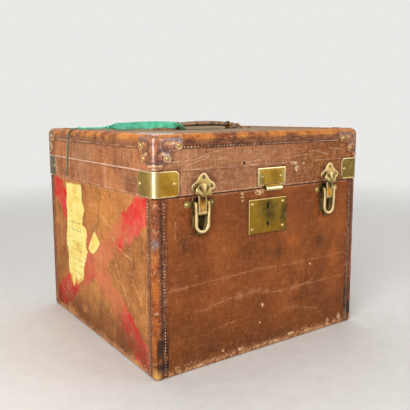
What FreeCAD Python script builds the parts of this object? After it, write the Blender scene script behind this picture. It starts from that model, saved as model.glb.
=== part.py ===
import FreeCAD, Part
import math
import os

# A square-plan travel trunk: wooden boards under leather cloth, a lift-up lid on two back hinges,
# a lock and two lever latches on the front, and an arched handle with a ribbon tied to it.
# Millimetres. +Z is up, the front faces -Y, and the origin is the middle of the underside.

V = FreeCAD.Vector
RIGHT = V(1, 0, 0)
BACK = V(0, 1, 0)
FRONT = V(0, -1, 0)
UP = V(0, 0, 1)

# Whole trunk
body_width = 458.0
body_depth = 448.0
parting_height = 292.0
lid_height = 98.0
parting_gap = 0.5

# Boards and skins
wall_board = 9.0
bottom_board = 9.0
lid_wall_board = 8.0
lid_top_board = 8.0
cover_skin = 1.2
lining_skin = 0.8
binding_skin = 1.4
band_skin = 1.3
cap_skin = 1.8
brass_sheet = 1.2
lid_overhang = 1.2

# Rounded corners and edges
corner_radius = 10.0
bottom_edge_radius = 5.0
lid_edge_radius = 9.5

# Bindings, band and rim
body_binding_leg = 23.0
lid_binding_drop = 24.0
lid_binding_top = 15.0
band_height = 42.0
lip_board = 3.0
lip_rise = 12.0
lip_depth = 30.0

# Brass rim plates on the lid's lower corners
rim_plate_leg = 47.0
rim_plate_nail_inset = 8.0
rim_plate_end_radius = 9.0

# Moulded leather caps on the lid's top corners
cap_arm_front = 45.0
cap_arm_side = 32.0
cap_arm_share = 0.318
cap_knee = 24.0
cap_knee_share = 0.673
cap_lobe_radius = 9.0
cap_foot = 12.0
cap_band_gap = 0.75
cap_top_reach = 34.0

# Nails and rivets
nail_head_radius = 3.2
nail_head_height = 2.0
nail_shank_radius = 1.1
nail_shank_length = 7.0
nail_play = 0.05

# Lock on the front of the body
lock_plate_width = 86.0
lock_plate_height = 60.0
lock_plate_drop = 18.6
lock_rivet_inset = 8.0
lock_case_width = 60.0
lock_case_height = 48.0
lock_case_wall = 1.2
lock_case_back_wood = 1.0
lock_case_margin = 1.0
lock_slot_width = 3.0
lock_slot_height = 12.0
lock_slot_drop = 7.0
keyhole_radius = 2.0
keyhole_rise = 16.0
bolt_length = 34.0
bolt_height = 8.0
bolt_depth = 4.0
bolt_travel = 6.0
bolt_play = 0.1

# Fittings on the lid sit a little to the right of those on the body
lid_fittings_shift = 6.5

# Hasp plate on the lid, with the rolled knuckle that is left of its hasp
hasp_plate_width = 64.0
hasp_plate_height = 31.0
hasp_plate_rise = 4.0
hasp_rivet_spacing = 43.0
hasp_knuckle_width = 36.0
hasp_knuckle_radius = 4.6
hasp_pin_radius = 2.0
hasp_pin_play = 0.02

# Lever latches
latch_inset = 83.5
latch_base_width = 28.0
latch_base_rise = -4.0
latch_base_shoulder = 50.0
latch_base_point = 69.0
latch_lug_reach = 24.0
latch_lug_radius = 6.0
latch_lug_bar = 9.0
latch_sheet = 1.6
ear_gap = 16.6
ear_thickness = 2.0
ear_radius = 4.5
pivot_out = 7.0
pivot_drop = 14.0
pivot_radius = 2.0
pin_play = 0.05
press_play = 0.02
lever_side_gap = 0.5
lever_bar = 3.7
lever_inner = 5.0
lever_outer = 12.0
lever_length = 47.0
link_side_gap = 0.5
link_pin_out = 9.0
link_pin_drop = 28.0
link_pin_radius = 1.8
link_barrel_radius = 3.2
link_sheet = 2.0
link_lip = 2.0
catch_gap = 0.3
lip_clearance = 1.0
shell_radius = 13.3
shell_height = 3.5
shell_rise = 10.0

# Keeper of each latch on the lid
keeper_sheet = 1.5
keeper_nose_width = 28.0
keeper_nose_out = 4.5
keeper_nose_top = 4.0
keeper_nose_drop = 2.0
keeper_top_rise = 29.0
keeper_top_radius = 6.5
keeper_wing_reach = 16.0
keeper_wing_rise = 14.0
keeper_wing_radius = 6.8
keeper_body_radius = 12.5
keeper_body_rise = 12.0

# Hinges on the back
hinge_inset = 84.0
hinge_width = 57.0
hinge_body_leaf = 28.0
hinge_lid_leaf = 24.0
hinge_sheet = 1.6
hinge_barrel_radius = 4.2
hinge_pin_radius = 2.0
hinge_pin_head = 1.5
hinge_barrel_gap = 0.4
hinge_knuckle_gap = 0.4
hinge_leaf_relief = 5.0

# Handle on top of the lid
handle_forward = 22.0
handle_axis_rise = 9.4
handle_eye_spacing = 124.0
handle_eye_thickness = 4.0
handle_eye_radius = 6.5
spindle_radius = 3.0
spindle_grip_depth = 24.0
spindle_head_radius = 4.6
spindle_head = 2.4
handle_side_gap = 0.5
grip_width = 20.0
grip_end_width = 13.0
grip_thickness = 9.0
grip_end_thickness = 8.0
grip_arch = 2.5
eye_foot_length = 40.0
eye_foot_width = 18.0
eye_foot_sheet = 1.5
chape_length = 52.0
chape_width = 24.0
chape_thickness = 2.5
chape_nail_inset = 13.0

# Ribbon tied round the handle's left end, and its string down the left side
ribbon_thickness = 1.0
ribbon_width = 12.0
ribbon_lift = 0.3
ribbon_under_grip = 1.2
ribbon_knot_radius = 5.0
ribbon_twist_radius = 2.5
ribbon_loop_half_width = 14.0
ribbon_knot_inset = 62.2
ribbon_knot_back = 58.0
ribbon_edge_back = 97.0
string_radius = 1.25
string_clear = 0.4

# Values worked out from the sizes above
half_width = body_width / 2
half_depth = body_depth / 2
trunk_height = parting_height + lid_height
body_top = parting_height - parting_gap / 2
lid_bottom = parting_height + parting_gap / 2
lid_cover_top = trunk_height - binding_skin
lid_half_width = half_width + lid_overhang
lid_half_depth = half_depth + lid_overhang
band_top = lid_bottom + band_height
lid_binding_bottom = trunk_height - lid_binding_drop
cap_foot_drop = trunk_height - band_top - cap_band_gap
cap_arm_drop = cap_arm_share * cap_foot_drop
cap_knee_drop = cap_knee_share * cap_foot_drop
lid_face = lid_overhang + band_skin
inside_half_width = half_width - cover_skin - wall_board
inside_half_depth = half_depth - cover_skin - wall_board
inside_floor = cover_skin + bottom_board
lid_inside_half_width = lid_half_width - cover_skin - lid_wall_board
lid_inside_half_depth = lid_half_depth - cover_skin - lid_wall_board
lid_inside_top = lid_cover_top - cover_skin - lid_top_board
far = body_width + body_depth + trunk_height

parts = {}
drills = []


def block(x0, x1, y0, y1, z0, z1):
    """Box between two corners."""
    return Part.makeBox(x1 - x0, y1 - y0, z1 - z0, V(x0, y0, z0))


def rod(radius, start, end):
    """Round bar from one point to another."""
    return Part.makeCylinder(radius, (end - start).Length, start, end - start)


def join(first, *others):
    """One solid from touching or overlapping shapes."""
    return first.fuse(list(others)).removeSplitter()


def mirrored(shape, across_x, across_y):
    """Copy of a shape on another corner of the trunk."""
    if across_x:
        shape = shape.mirror(V(0, 0, 0), RIGHT)
    if across_y:
        shape = shape.mirror(V(0, 0, 0), BACK)
    return shape


def upright_prism(half_x, half_y, z0, z1, radius):
    """Upright block with its four vertical edges rounded."""
    slab = block(-half_x, half_x, -half_y, half_y, z0, z1)
    upright = [e for e in slab.Edges if abs(e.tangentAt(e.FirstParameter).z) > 0.5]
    return slab.makeFillet(radius, upright)


def level_edges(shape, z):
    """Edges of a shape that lie wholly at one height."""
    return [e for e in shape.Edges
            if abs(e.BoundBox.ZMin - z) < 1e-4 and abs(e.BoundBox.ZMax - z) < 1e-4]


def body_envelope(inset):
    """Outer form of the body, moved inwards by an inset."""
    prism = upright_prism(half_width - inset, half_depth - inset, inset, body_top, corner_radius - inset)
    return prism.makeFillet(bottom_edge_radius - inset, level_edges(prism, inset))


def lid_envelope(outset):
    """Outer form of the lid's cover, moved outwards by an outset."""
    top = lid_cover_top + outset
    prism = upright_prism(lid_half_width + outset, lid_half_depth + outset, lid_bottom, top,
                          corner_radius + lid_overhang + outset)
    return prism.makeFillet(lid_edge_radius + outset, level_edges(prism, top))


def lid_ring(inner_outset, thickness, z0, z1):
    """Upright band round the lid between two heights."""
    radius = corner_radius + lid_overhang + inner_outset
    half_x = lid_half_width + inner_outset
    half_y = lid_half_depth + inner_outset
    outer = upright_prism(half_x + thickness, half_y + thickness, z0, z1, radius + thickness)
    return outer.cut(upright_prism(half_x, half_y, z0, z1, radius))


def out_front(distance):
    """Y of a point that far in front of the body's front face."""
    return -half_depth - distance


def at_front(x, out, z):
    """Point in front of the body's front face."""
    return V(x, out_front(out), z)


def front_bar(x0, x1, out0, out1, z0, z1):
    """Box in front of the body's front face."""
    return block(x0, x1, out_front(out1), out_front(out0), z0, z1)


def front_disc(x, z, radius, out0, out1):
    """Disc that lies parallel to the front face."""
    return rod(radius, at_front(x, out0, z), at_front(x, out1, z))


def front_outline(points, out0, out1):
    """Flat plate parallel to the front face, from its corner points (x, z)."""
    corners = [at_front(x, out0, z) for x, z in points]
    face = Part.Face(Part.makePolygon(corners + corners[:1]))
    return face.extrude(FRONT * (out1 - out0))


def nail(seat, direction):
    """Dome-headed nail whose head sits on a point; its hole is kept for the pieces it goes through."""
    arc_mid_angle = math.atan2(nail_head_height, nail_head_radius)
    sphere = (nail_head_radius ** 2 + nail_head_height ** 2) / (2 * nail_head_height)
    middle_z = nail_head_height - sphere + sphere * math.cos(arc_mid_angle)
    middle = V(sphere * math.sin(arc_mid_angle), 0, middle_z)
    corners = [V(0, 0, nail_head_height), V(0, 0, -nail_shank_length),
               V(nail_shank_radius, 0, -nail_shank_length), V(nail_shank_radius, 0, 0),
               V(nail_head_radius, 0, 0)]
    edges = Part.makePolygon(corners).Edges + [Part.Arc(corners[-1], middle, corners[0]).toShape()]
    solid = Part.Face(Part.Wire(edges)).revolve(V(0, 0, 0), UP, 360)
    placement = FreeCAD.Placement(seat, FreeCAD.Rotation(UP, direction))
    solid.Placement = placement
    drills.append(rod(nail_shank_radius + nail_play, seat + direction * nail_head_height,
                      seat - direction * (nail_shank_length + nail_play)))
    return solid


# Body: boards, covers, lining and lip
def make_body_boards():
    wood = body_envelope(cover_skin)
    outer_x = half_width - cover_skin
    outer_y = half_depth - cover_skin
    parts["body_bottom_board"] = wood.common(block(-far, far, -far, far, 0, inside_floor))
    side = block(inside_half_width, outer_x, -outer_y, outer_y, inside_floor, body_top)
    parts["body_right_board"] = wood.common(side)
    parts["body_left_board"] = mirrored(parts["body_right_board"], True, False)
    end = block(-inside_half_width, inside_half_width, -outer_y, -inside_half_depth, inside_floor, body_top)
    parts["body_back_board"] = mirrored(end, False, True)
    parts["body_front_board"] = end.cut(lock_mortise())


def make_body_covers():
    outer = body_envelope(0)
    skin = outer.cut(body_envelope(cover_skin))
    under = block(-far, far, -far, far, -cover_skin, cover_skin)
    parts["body_cover"] = skin.cut(under).cut(lock_mortise())
    parts["bottom_cover"] = outer.common(under)


def make_body_lining():
    outer = block(-inside_half_width, inside_half_width, -inside_half_depth, inside_half_depth,
                  inside_floor, body_top - lip_depth)
    inner_x = inside_half_width - lining_skin
    inner_y = inside_half_depth - lining_skin
    inner = block(-inner_x, inner_x, -inner_y, inner_y, inside_floor + lining_skin, far)
    parts["body_lining"] = outer.cut(inner)


def make_rim_lip():
    z0 = body_top - lip_depth
    z1 = body_top + lip_rise
    side_x = inside_half_width - lip_board
    side = block(side_x, inside_half_width, -inside_half_depth, inside_half_depth, z0, z1)
    end = block(-side_x, side_x, inside_half_depth - lip_board, inside_half_depth, z0, z1)
    strips = [side, mirrored(side, True, False), end, mirrored(end, False, True)]
    parts["rim_lip"] = Part.makeCompound(strips)


CORNERS = (("front_left", False, False), ("front_right", True, False),
           ("back_left", False, True), ("back_right", True, True))


def make_corner_bindings():
    strip = body_envelope(-binding_skin).cut(body_envelope(0))
    near = block(-far, body_binding_leg - half_width, -far, body_binding_leg - half_depth,
                 cover_skin, body_top - binding_skin)
    corner = strip.common(near)
    for name, across_x, across_y in CORNERS:
        parts["corner_binding_" + name] = mirrored(corner, across_x, across_y)


# Lock: plate, case in a mortise of the front board, and sliding bolt
lock_plate_top = parting_height - lock_plate_drop
lock_plate_bottom = lock_plate_top - lock_plate_height
lock_slot_top = lock_plate_top - lock_slot_drop
lock_case_top = lock_slot_top + lock_case_margin
lock_case_bottom = lock_case_top - lock_case_height
bolt_middle = lock_slot_top - lock_slot_height / 2
lock_mortise_depth = cover_skin + wall_board - lock_case_back_wood


def lock_mortise():
    half = lock_case_width / 2
    return front_bar(-half, half, -lock_mortise_depth, lock_mortise_depth, lock_case_bottom, lock_case_top)


def make_lock():
    half = lock_plate_width / 2
    plate = front_bar(-half, half, 0, brass_sheet, lock_plate_bottom, lock_plate_top)
    half_slot = lock_slot_width / 2
    slot = front_bar(-half_slot, half_slot, -brass_sheet, 2 * brass_sheet,
                     lock_slot_top - lock_slot_height, lock_slot_top)
    keyhole_z = lock_plate_bottom + keyhole_rise
    keyhole = front_disc(0, keyhole_z, keyhole_radius, -brass_sheet, 2 * brass_sheet)
    key_slit = front_bar(-keyhole_radius / 2, keyhole_radius / 2, -brass_sheet, 2 * brass_sheet,
                         keyhole_z - 3 * keyhole_radius, keyhole_z)
    parts["lock_plate"] = plate.cut([slot, keyhole, key_slit])

    half_case = lock_case_width / 2
    box = front_bar(-half_case, half_case, -lock_mortise_depth, 0, lock_case_bottom, lock_case_top)
    half_room = half_case - lock_case_wall
    room_back = lock_case_wall - lock_mortise_depth
    room = front_bar(-half_room, half_room, room_back, lock_case_wall,
                     lock_case_bottom + lock_case_wall, lock_case_top - lock_case_wall)
    bolt_left = -(bolt_length + bolt_travel) / 2
    bolt_back = room_back + bolt_play
    bolt_bottom = bolt_middle - bolt_height / 2
    ledge_top = bolt_bottom - bolt_play
    ledge = front_bar(-half_room, half_room, room_back, bolt_back + bolt_depth,
                      ledge_top - lock_case_wall, ledge_top)
    parts["lock_case"] = join(box.cut(room), ledge)
    parts["lock_bolt"] = front_bar(bolt_left, bolt_left + bolt_length, bolt_back, bolt_back + bolt_depth,
                                   bolt_bottom, bolt_bottom + bolt_height)
    x = lock_plate_width / 2 - lock_rivet_inset
    heights = (lock_plate_bottom + lock_rivet_inset, lock_plate_top - lock_rivet_inset)
    return [nail(at_front(side * x, brass_sheet, z), FRONT) for side in (-1, 1) for z in heights]


# Latches: base, lever and hook link on the body, keeper on the lid
pivot_z = parting_height - pivot_drop
link_pin_z = parting_height - link_pin_drop
ear_outer = ear_gap / 2 + ear_thickness
lever_near = ear_outer + lever_side_gap
lever_far = lever_near + lever_bar
link_half_width = ear_gap / 2 - link_side_gap
keeper_front = lid_face + keeper_sheet
nose_front = keeper_front + keeper_nose_out
link_back = nose_front + catch_gap
link_front = link_back + link_sheet
lip_bottom = parting_height + keeper_nose_top + catch_gap
lip_top = lip_bottom + link_lip


def make_latch_base(name, x):
    top = parting_height + latch_base_rise
    half = latch_base_width / 2
    shoulder = parting_height - latch_base_shoulder
    plate = front_outline([(x - half, top), (x + half, top), (x + half, shoulder),
                           (x, parting_height - latch_base_point), (x - half, shoulder)], 0, latch_sheet)
    lug_left = x - latch_lug_reach
    lug_right = x + latch_lug_reach
    bar = front_bar(lug_left, lug_right, 0, latch_sheet,
                    pivot_z - latch_lug_bar / 2, pivot_z + latch_lug_bar / 2)
    lugs = [front_disc(lug, pivot_z, latch_lug_radius, 0, latch_sheet) for lug in (lug_left, lug_right)]
    ears = []
    for x0 in (x - ear_outer, x + ear_gap / 2):
        x1 = x0 + ear_thickness
        ears.append(rod(ear_radius, at_front(x0, pivot_out, pivot_z), at_front(x1, pivot_out, pivot_z)))
        ears.append(front_bar(x0, x1, 0, pivot_out, pivot_z - ear_radius, pivot_z + ear_radius))
    base = join(plate, bar, *lugs, *ears)
    hole = rod(pivot_radius + press_play, at_front(x - far, pivot_out, pivot_z),
               at_front(x + far, pivot_out, pivot_z))
    parts[name + "_base"] = base.cut(hole)
    return [nail(at_front(lug, latch_sheet, pivot_z), FRONT) for lug in (lug_left, lug_right)]


def make_latch_lever(name, x):
    bow_radius = lever_far
    bow_z = pivot_z - lever_length + bow_radius
    bow = front_disc(x, bow_z, bow_radius, lever_inner, lever_outer)
    bow = bow.cut(front_disc(x, bow_z, lever_near, lever_inner, lever_outer))
    bow = bow.common(front_bar(x - far, x + far, lever_inner, lever_outer, bow_z - far, bow_z))
    pieces = []
    for x0 in (x - lever_far, x + lever_near):
        x1 = x0 + lever_bar
        pieces.append(front_bar(x0, x1, lever_inner, lever_outer, bow_z, pivot_z))
        pieces.append(rod(ear_radius, at_front(x0, pivot_out, pivot_z), at_front(x1, pivot_out, pivot_z)))
    lever = join(bow, *pieces)
    left = x - far
    right = x + far
    pivot_hole = rod(pivot_radius + pin_play, at_front(left, pivot_out, pivot_z),
                     at_front(right, pivot_out, pivot_z))
    link_hole = rod(link_pin_radius + press_play, at_front(left, link_pin_out, link_pin_z),
                    at_front(right, link_pin_out, link_pin_z))
    parts[name + "_lever"] = lever.cut([pivot_hole, link_hole])
    parts[name + "_link_pin"] = rod(link_pin_radius, at_front(x - lever_far, link_pin_out, link_pin_z),
                                    at_front(x + lever_far, link_pin_out, link_pin_z))


def make_latch_link(name, x):
    left = x - link_half_width
    right = x + link_half_width
    barrel = rod(link_barrel_radius, at_front(left, link_pin_out, link_pin_z),
                 at_front(right, link_pin_out, link_pin_z))
    plate = front_bar(left, right, link_back, link_front, link_pin_z, lip_top)
    lip = front_bar(left, right, keeper_front + lip_clearance, link_back, lip_bottom, lip_top)
    ball = (shell_radius ** 2 + shell_height ** 2) / (2 * shell_height)
    shell_z = parting_height + shell_rise
    shell = Part.makeSphere(ball, at_front(x, link_front + shell_height - ball, shell_z))
    shell = shell.common(front_bar(x - far, x + far, link_front, far, 0, far))
    hole = rod(link_pin_radius + pin_play, at_front(left, link_pin_out, link_pin_z),
               at_front(right, link_pin_out, link_pin_z))
    parts[name + "_link"] = join(barrel, plate, lip, shell).cut(hole)


def latch_pivot_pins(x):
    """Two stub pins that carry one lever on the ears of its base."""
    stubs = []
    for x0 in (x - lever_far, x + ear_gap / 2):
        x1 = x0 + lever_far - ear_gap / 2
        stubs.append(rod(pivot_radius, at_front(x0, pivot_out, pivot_z), at_front(x1, pivot_out, pivot_z)))
    return stubs


def make_keeper(name, x):
    centre = x + lid_fittings_shift
    z = parting_height
    top_z = z + keeper_top_rise
    wing_z = z + keeper_wing_rise
    body_z = z + keeper_body_rise
    half_nose = keeper_nose_width / 2
    tip = front_disc(centre, top_z, keeper_top_radius, lid_face, keeper_front)
    neck = front_outline([(centre - keeper_body_radius, body_z), (centre + keeper_body_radius, body_z),
                          (centre + keeper_top_radius, top_z), (centre - keeper_top_radius, top_z)],
                         lid_face, keeper_front)
    wings = [front_disc(centre + side * keeper_wing_reach, wing_z, keeper_wing_radius, lid_face, keeper_front)
             for side in (-1, 1)]
    middle = front_disc(centre, body_z, keeper_body_radius, lid_face, keeper_front)
    skirt = front_bar(centre - half_nose, centre + half_nose, lid_face, keeper_front, lid_bottom, body_z)
    nose = front_bar(centre - half_nose, centre + half_nose, keeper_front, nose_front,
                     z - keeper_nose_drop, z + keeper_nose_top)
    parts[name + "_keeper"] = join(tip, neck, *wings, middle, skirt, nose)
    seats = [(centre, top_z), (centre - keeper_wing_reach, wing_z), (centre + keeper_wing_reach, wing_z)]
    return [nail(at_front(nail_x, keeper_front, nail_z), FRONT) for nail_x, nail_z in seats]


# Hasp plate on the lid
def make_hasp():
    x = lid_fittings_shift
    half = hasp_plate_width / 2
    half_knuckle = hasp_knuckle_width / 2
    bottom = parting_height + hasp_plate_rise
    front = lid_face + brass_sheet
    plate = front_bar(x - half, x + half, lid_face, front, bottom, bottom + hasp_plate_height)
    axis_out = lid_face + hasp_knuckle_radius
    axis_z = bottom - hasp_knuckle_radius
    ends = (at_front(x - half_knuckle, axis_out, axis_z), at_front(x + half_knuckle, axis_out, axis_z))
    curl = front_bar(x - half_knuckle, x + half_knuckle, lid_face, axis_out, axis_z, bottom + brass_sheet)
    hasp = join(plate, curl, rod(hasp_knuckle_radius, *ends))
    parts["hasp_plate"] = hasp.cut(rod(hasp_pin_radius + hasp_pin_play, *ends))
    parts["hasp_pin"] = rod(hasp_pin_radius, *ends)
    z = bottom + hasp_plate_height / 2
    return [nail(at_front(x + side * hasp_rivet_spacing / 2, front, z), FRONT) for side in (-1, 1)]


# Lid: boards, cover, band, bindings and lining
def make_lid_boards():
    wood = lid_envelope(-cover_skin)
    outer_x = lid_half_width - cover_skin
    outer_y = lid_half_depth - cover_skin
    parts["lid_top_board"] = wood.common(block(-far, far, -far, far, lid_inside_top, far))
    side = block(lid_inside_half_width, outer_x, -outer_y, outer_y, lid_bottom, lid_inside_top)
    parts["lid_right_board"] = wood.common(side)
    parts["lid_left_board"] = mirrored(parts["lid_right_board"], True, False)
    end = block(-lid_inside_half_width, lid_inside_half_width, -outer_y, -lid_inside_half_depth,
                lid_bottom, lid_inside_top)
    parts["lid_front_board"] = wood.common(end)
    parts["lid_back_board"] = mirrored(parts["lid_front_board"], False, True)


def make_lid_skins():
    cover = lid_envelope(0)
    parts["lid_cover"] = cover.cut(lid_envelope(-cover_skin))
    parts["lid_rim_band"] = lid_ring(0, band_skin, lid_bottom, band_top)
    open_top = upright_prism(lid_half_width - lid_binding_top, lid_half_depth - lid_binding_top,
                             lid_binding_bottom, far, corner_radius)
    edge = block(-far, far, -far, far, lid_binding_bottom, far).cut(open_top)
    parts["lid_edge_binding"] = lid_envelope(binding_skin).cut(cover).common(edge)
    outer = block(-lid_inside_half_width, lid_inside_half_width,
                  -lid_inside_half_depth, lid_inside_half_depth, lid_bottom, lid_inside_top)
    inner_x = lid_inside_half_width - lining_skin
    inner_y = lid_inside_half_depth - lining_skin
    inner = block(-inner_x, inner_x, -inner_y, inner_y, 0, lid_inside_top - lining_skin)
    parts["lid_lining"] = outer.cut(inner)


def cap_lobes(reach, knee, depth):
    """Outline of one face of a cap, as a block: the corner is at the origin, +X runs along the face,
    +Y goes into the trunk, and Z = 0 is the lid's top."""
    start = -cap_skin - binding_skin
    arm_bottom = -cap_arm_drop - cap_lobe_radius
    knee_bottom = -cap_knee_drop - cap_lobe_radius
    arm = block(start, reach, start, depth, arm_bottom, far)
    arm_end = rod(cap_lobe_radius, V(reach, start, -cap_arm_drop), V(reach, depth, -cap_arm_drop))
    arm_rise = block(reach - cap_lobe_radius, reach + cap_lobe_radius, start, depth, -cap_arm_drop, far)
    leg = block(start, knee, start, depth, knee_bottom, arm_bottom)
    leg_end = rod(cap_lobe_radius, V(knee, start, -cap_knee_drop), V(knee, depth, -cap_knee_drop))
    foot = block(start, cap_foot, start, depth, -cap_foot_drop, knee_bottom)
    return join(arm, arm_end, arm_rise, leg, leg_end, foot)


def make_corner_caps():
    reach = lid_edge_radius + corner_radius
    corner = V(-lid_half_width, -lid_half_depth, trunk_height)
    front = cap_lobes(cap_arm_front, cap_knee, reach)
    front.translate(corner)
    side = cap_lobes(cap_arm_side, cap_knee, reach).mirror(V(0, 0, 0), V(1, -1, 0).normalize())
    side.translate(corner)
    top = rod(cap_top_reach, corner - UP * lid_edge_radius, corner + UP * reach)
    binding = lid_envelope(binding_skin).common(block(-far, far, -far, far, lid_binding_bottom, far))
    near = block(-far, 0, -far, 0, 0, far)
    outer = lid_envelope(binding_skin + cap_skin).common(near)
    cap = outer.common(front.fuse([side, top])).cut([binding, lid_envelope(0)])
    nails = cap_nails()
    for name, across_x, across_y in CORNERS:
        parts["corner_cap_" + name] = mirrored(cap, across_x, across_y)
    return nails


def cap_nails():
    """Nails through the lobes of all four caps."""
    high_z = trunk_height - cap_arm_drop
    low_z = trunk_height - cap_knee_drop
    out = binding_skin + cap_skin
    front_y = -lid_half_depth - out
    side_x = -lid_half_width - out
    front_seats = [(cap_arm_front, high_z), (cap_knee, low_z)]
    side_seats = [(cap_arm_side, high_z), (cap_knee, low_z)]
    nails = []
    for sx in (1, -1):
        for sy in (1, -1):
            for along, z in front_seats:
                nails.append(nail(V(sx * (along - lid_half_width), sy * front_y, z), V(0, -sy, 0)))
            for along, z in side_seats:
                nails.append(nail(V(sx * side_x, sy * (along - lid_half_depth), z), V(-sx, 0, 0)))
    return nails


def make_rim_plates():
    z0 = lid_bottom + parting_gap
    z1 = band_top - parting_gap
    ring = lid_ring(band_skin, brass_sheet, z0, z1)
    reach_x = rim_plate_leg - lid_half_width - band_skin
    reach_y = rim_plate_leg - lid_half_depth - band_skin
    region = block(-far, reach_x, -far, reach_y, z0, z1)
    round_x = [e for e in region.Edges if abs(e.BoundBox.XMin - reach_x) < 1e-4
               and abs(e.tangentAt(e.FirstParameter).y) > 0.5]
    round_y = [e for e in region.Edges if abs(e.BoundBox.YMin - reach_y) < 1e-4
               and abs(e.tangentAt(e.FirstParameter).x) > 0.5]
    corner = ring.common(region.makeFillet(rim_plate_end_radius, round_x))
    corner = corner.common(region.makeFillet(rim_plate_end_radius, round_y))
    for name, across_x, across_y in CORNERS:
        parts["rim_plate_" + name] = mirrored(corner, across_x, across_y)
    z = (z0 + z1) / 2
    out = band_skin + brass_sheet
    nail_x = reach_x - rim_plate_nail_inset
    nail_y = reach_y - rim_plate_nail_inset
    nails = []
    for sx in (1, -1):
        for sy in (1, -1):
            nails.append(nail(V(sx * nail_x, -sy * (lid_half_depth + out), z), V(0, -sy, 0)))
            nails.append(nail(V(-sx * (lid_half_width + out), sy * nail_y, z), V(-sx, 0, 0)))
    return nails


# Hinges on the back: body leaves, lid leaves and pins
hinge_y = half_depth + lid_face + hinge_barrel_gap + hinge_barrel_radius
hinge_z = parting_height
knuckle_length = (hinge_width - 2 * hinge_knuckle_gap) / 3


def hinge_rod(radius, x0, x1):
    return rod(radius, V(x0, hinge_y, hinge_z), V(x1, hinge_y, hinge_z))


def make_hinges():
    body_leaves = []
    lid_leaves = []
    pins = []
    body_screws = []
    lid_screws = []
    for side in (-1, 1):
        x0 = side * (half_width - hinge_inset) - hinge_width / 2
        x1 = x0 + hinge_width
        mid0 = x0 + knuckle_length + hinge_knuckle_gap
        mid1 = mid0 + knuckle_length
        bore = hinge_rod(hinge_pin_radius + pin_play, x0, x1)
        leaf_top = hinge_z - hinge_sheet
        leaf = block(x0, x1, half_depth, half_depth + hinge_sheet, leaf_top - hinge_body_leaf, leaf_top)
        pieces = []
        for k0, k1 in ((x0, x0 + knuckle_length), (x1 - knuckle_length, x1)):
            pieces.append(hinge_rod(hinge_barrel_radius, k0, k1))
            pieces.append(block(k0, k1, half_depth, hinge_y, leaf_top - hinge_sheet, leaf_top))
        body_leaves.append(join(leaf, *pieces).cut(bore))
        lid_y = half_depth + lid_face
        relief_z = hinge_z + hinge_leaf_relief
        leaf = block(x0, x1, lid_y, lid_y + hinge_sheet, relief_z, relief_z + hinge_lid_leaf)
        tongue = block(mid0, mid1, lid_y, lid_y + hinge_sheet, hinge_z + parting_gap, relief_z)
        lid_leaves.append(join(leaf, tongue, hinge_rod(hinge_barrel_radius, mid0, mid1)).cut(bore))
        pin = hinge_rod(hinge_pin_radius, x0 - hinge_pin_head, x1 + hinge_pin_head)
        heads = [hinge_rod(hinge_pin_radius + hinge_pin_head, x0 - hinge_pin_head, x0 - hinge_knuckle_gap),
                 hinge_rod(hinge_pin_radius + hinge_pin_head, x1 + hinge_knuckle_gap, x1 + hinge_pin_head)]
        pins.append(join(pin, *heads))
        for x in (x0 + knuckle_length / 2, x1 - knuckle_length / 2):
            body_screws.append(nail(V(x, half_depth + hinge_sheet, leaf_top - hinge_body_leaf / 2), BACK))
            lid_screws.append(nail(V(x, lid_y + hinge_sheet, relief_z + hinge_lid_leaf / 2), BACK))
    parts["hinge_body_leaves"] = Part.makeCompound(body_leaves)
    parts["hinge_lid_leaves"] = Part.makeCompound(lid_leaves)
    parts["hinge_pins"] = Part.makeCompound(pins)
    return body_screws, lid_screws


# Handle: eyes and leather chapes on the lid, and a grip that tilts on two spindles
handle_x = lid_fittings_shift
handle_y = -handle_forward
handle_z = lid_cover_top + handle_axis_rise
eye_inner = handle_eye_spacing / 2 - handle_eye_thickness / 2
eye_outer = handle_eye_spacing / 2 + handle_eye_thickness / 2
foot_top = lid_cover_top + eye_foot_sheet
chape_top = foot_top + chape_thickness
chape_start = eye_outer
chape_end = chape_start + chape_length
grip_half_length = eye_inner - handle_side_gap


def handle_point(along, z):
    return V(handle_x + along, handle_y, z)


def make_handle_mounts():
    eyes = []
    chapes = []
    nails = []
    for side in (-1, 1):
        near = handle_x + side * eye_inner
        out = handle_x + side * eye_outer
        x0 = min(near, out)
        x1 = max(near, out)
        foot_end = near + side * eye_foot_length
        foot = block(min(near, foot_end), max(near, foot_end), handle_y - eye_foot_width / 2,
                     handle_y + eye_foot_width / 2, lid_cover_top, foot_top)
        ring = rod(handle_eye_radius, V(x0, handle_y, handle_z), V(x1, handle_y, handle_z))
        stem = block(x0, x1, handle_y - handle_eye_radius, handle_y + handle_eye_radius,
                     lid_cover_top, handle_z)
        hole = rod(spindle_radius + pin_play, V(x0, handle_y, handle_z), V(x1, handle_y, handle_z))
        eyes.append(join(foot, ring, stem).cut(hole))
        end = handle_x + side * chape_end
        tab = block(min(out, end), max(out, end), handle_y - chape_width / 2, handle_y + chape_width / 2,
                    lid_cover_top, chape_top)
        chapes.append(tab.cut(foot))
        nails.append(nail(V(end - side * chape_nail_inset, handle_y, chape_top), UP))
    parts["handle_eyes"] = Part.makeCompound(eyes)
    parts["handle_chapes"] = Part.makeCompound(chapes)
    return nails


def arch_face(end_z, middle_z):
    """Edge of the grip seen from the front: an arc over its whole length."""
    return Part.Arc(handle_point(-grip_half_length, end_z), handle_point(0, middle_z),
                    handle_point(grip_half_length, end_z)).toShape()


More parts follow.
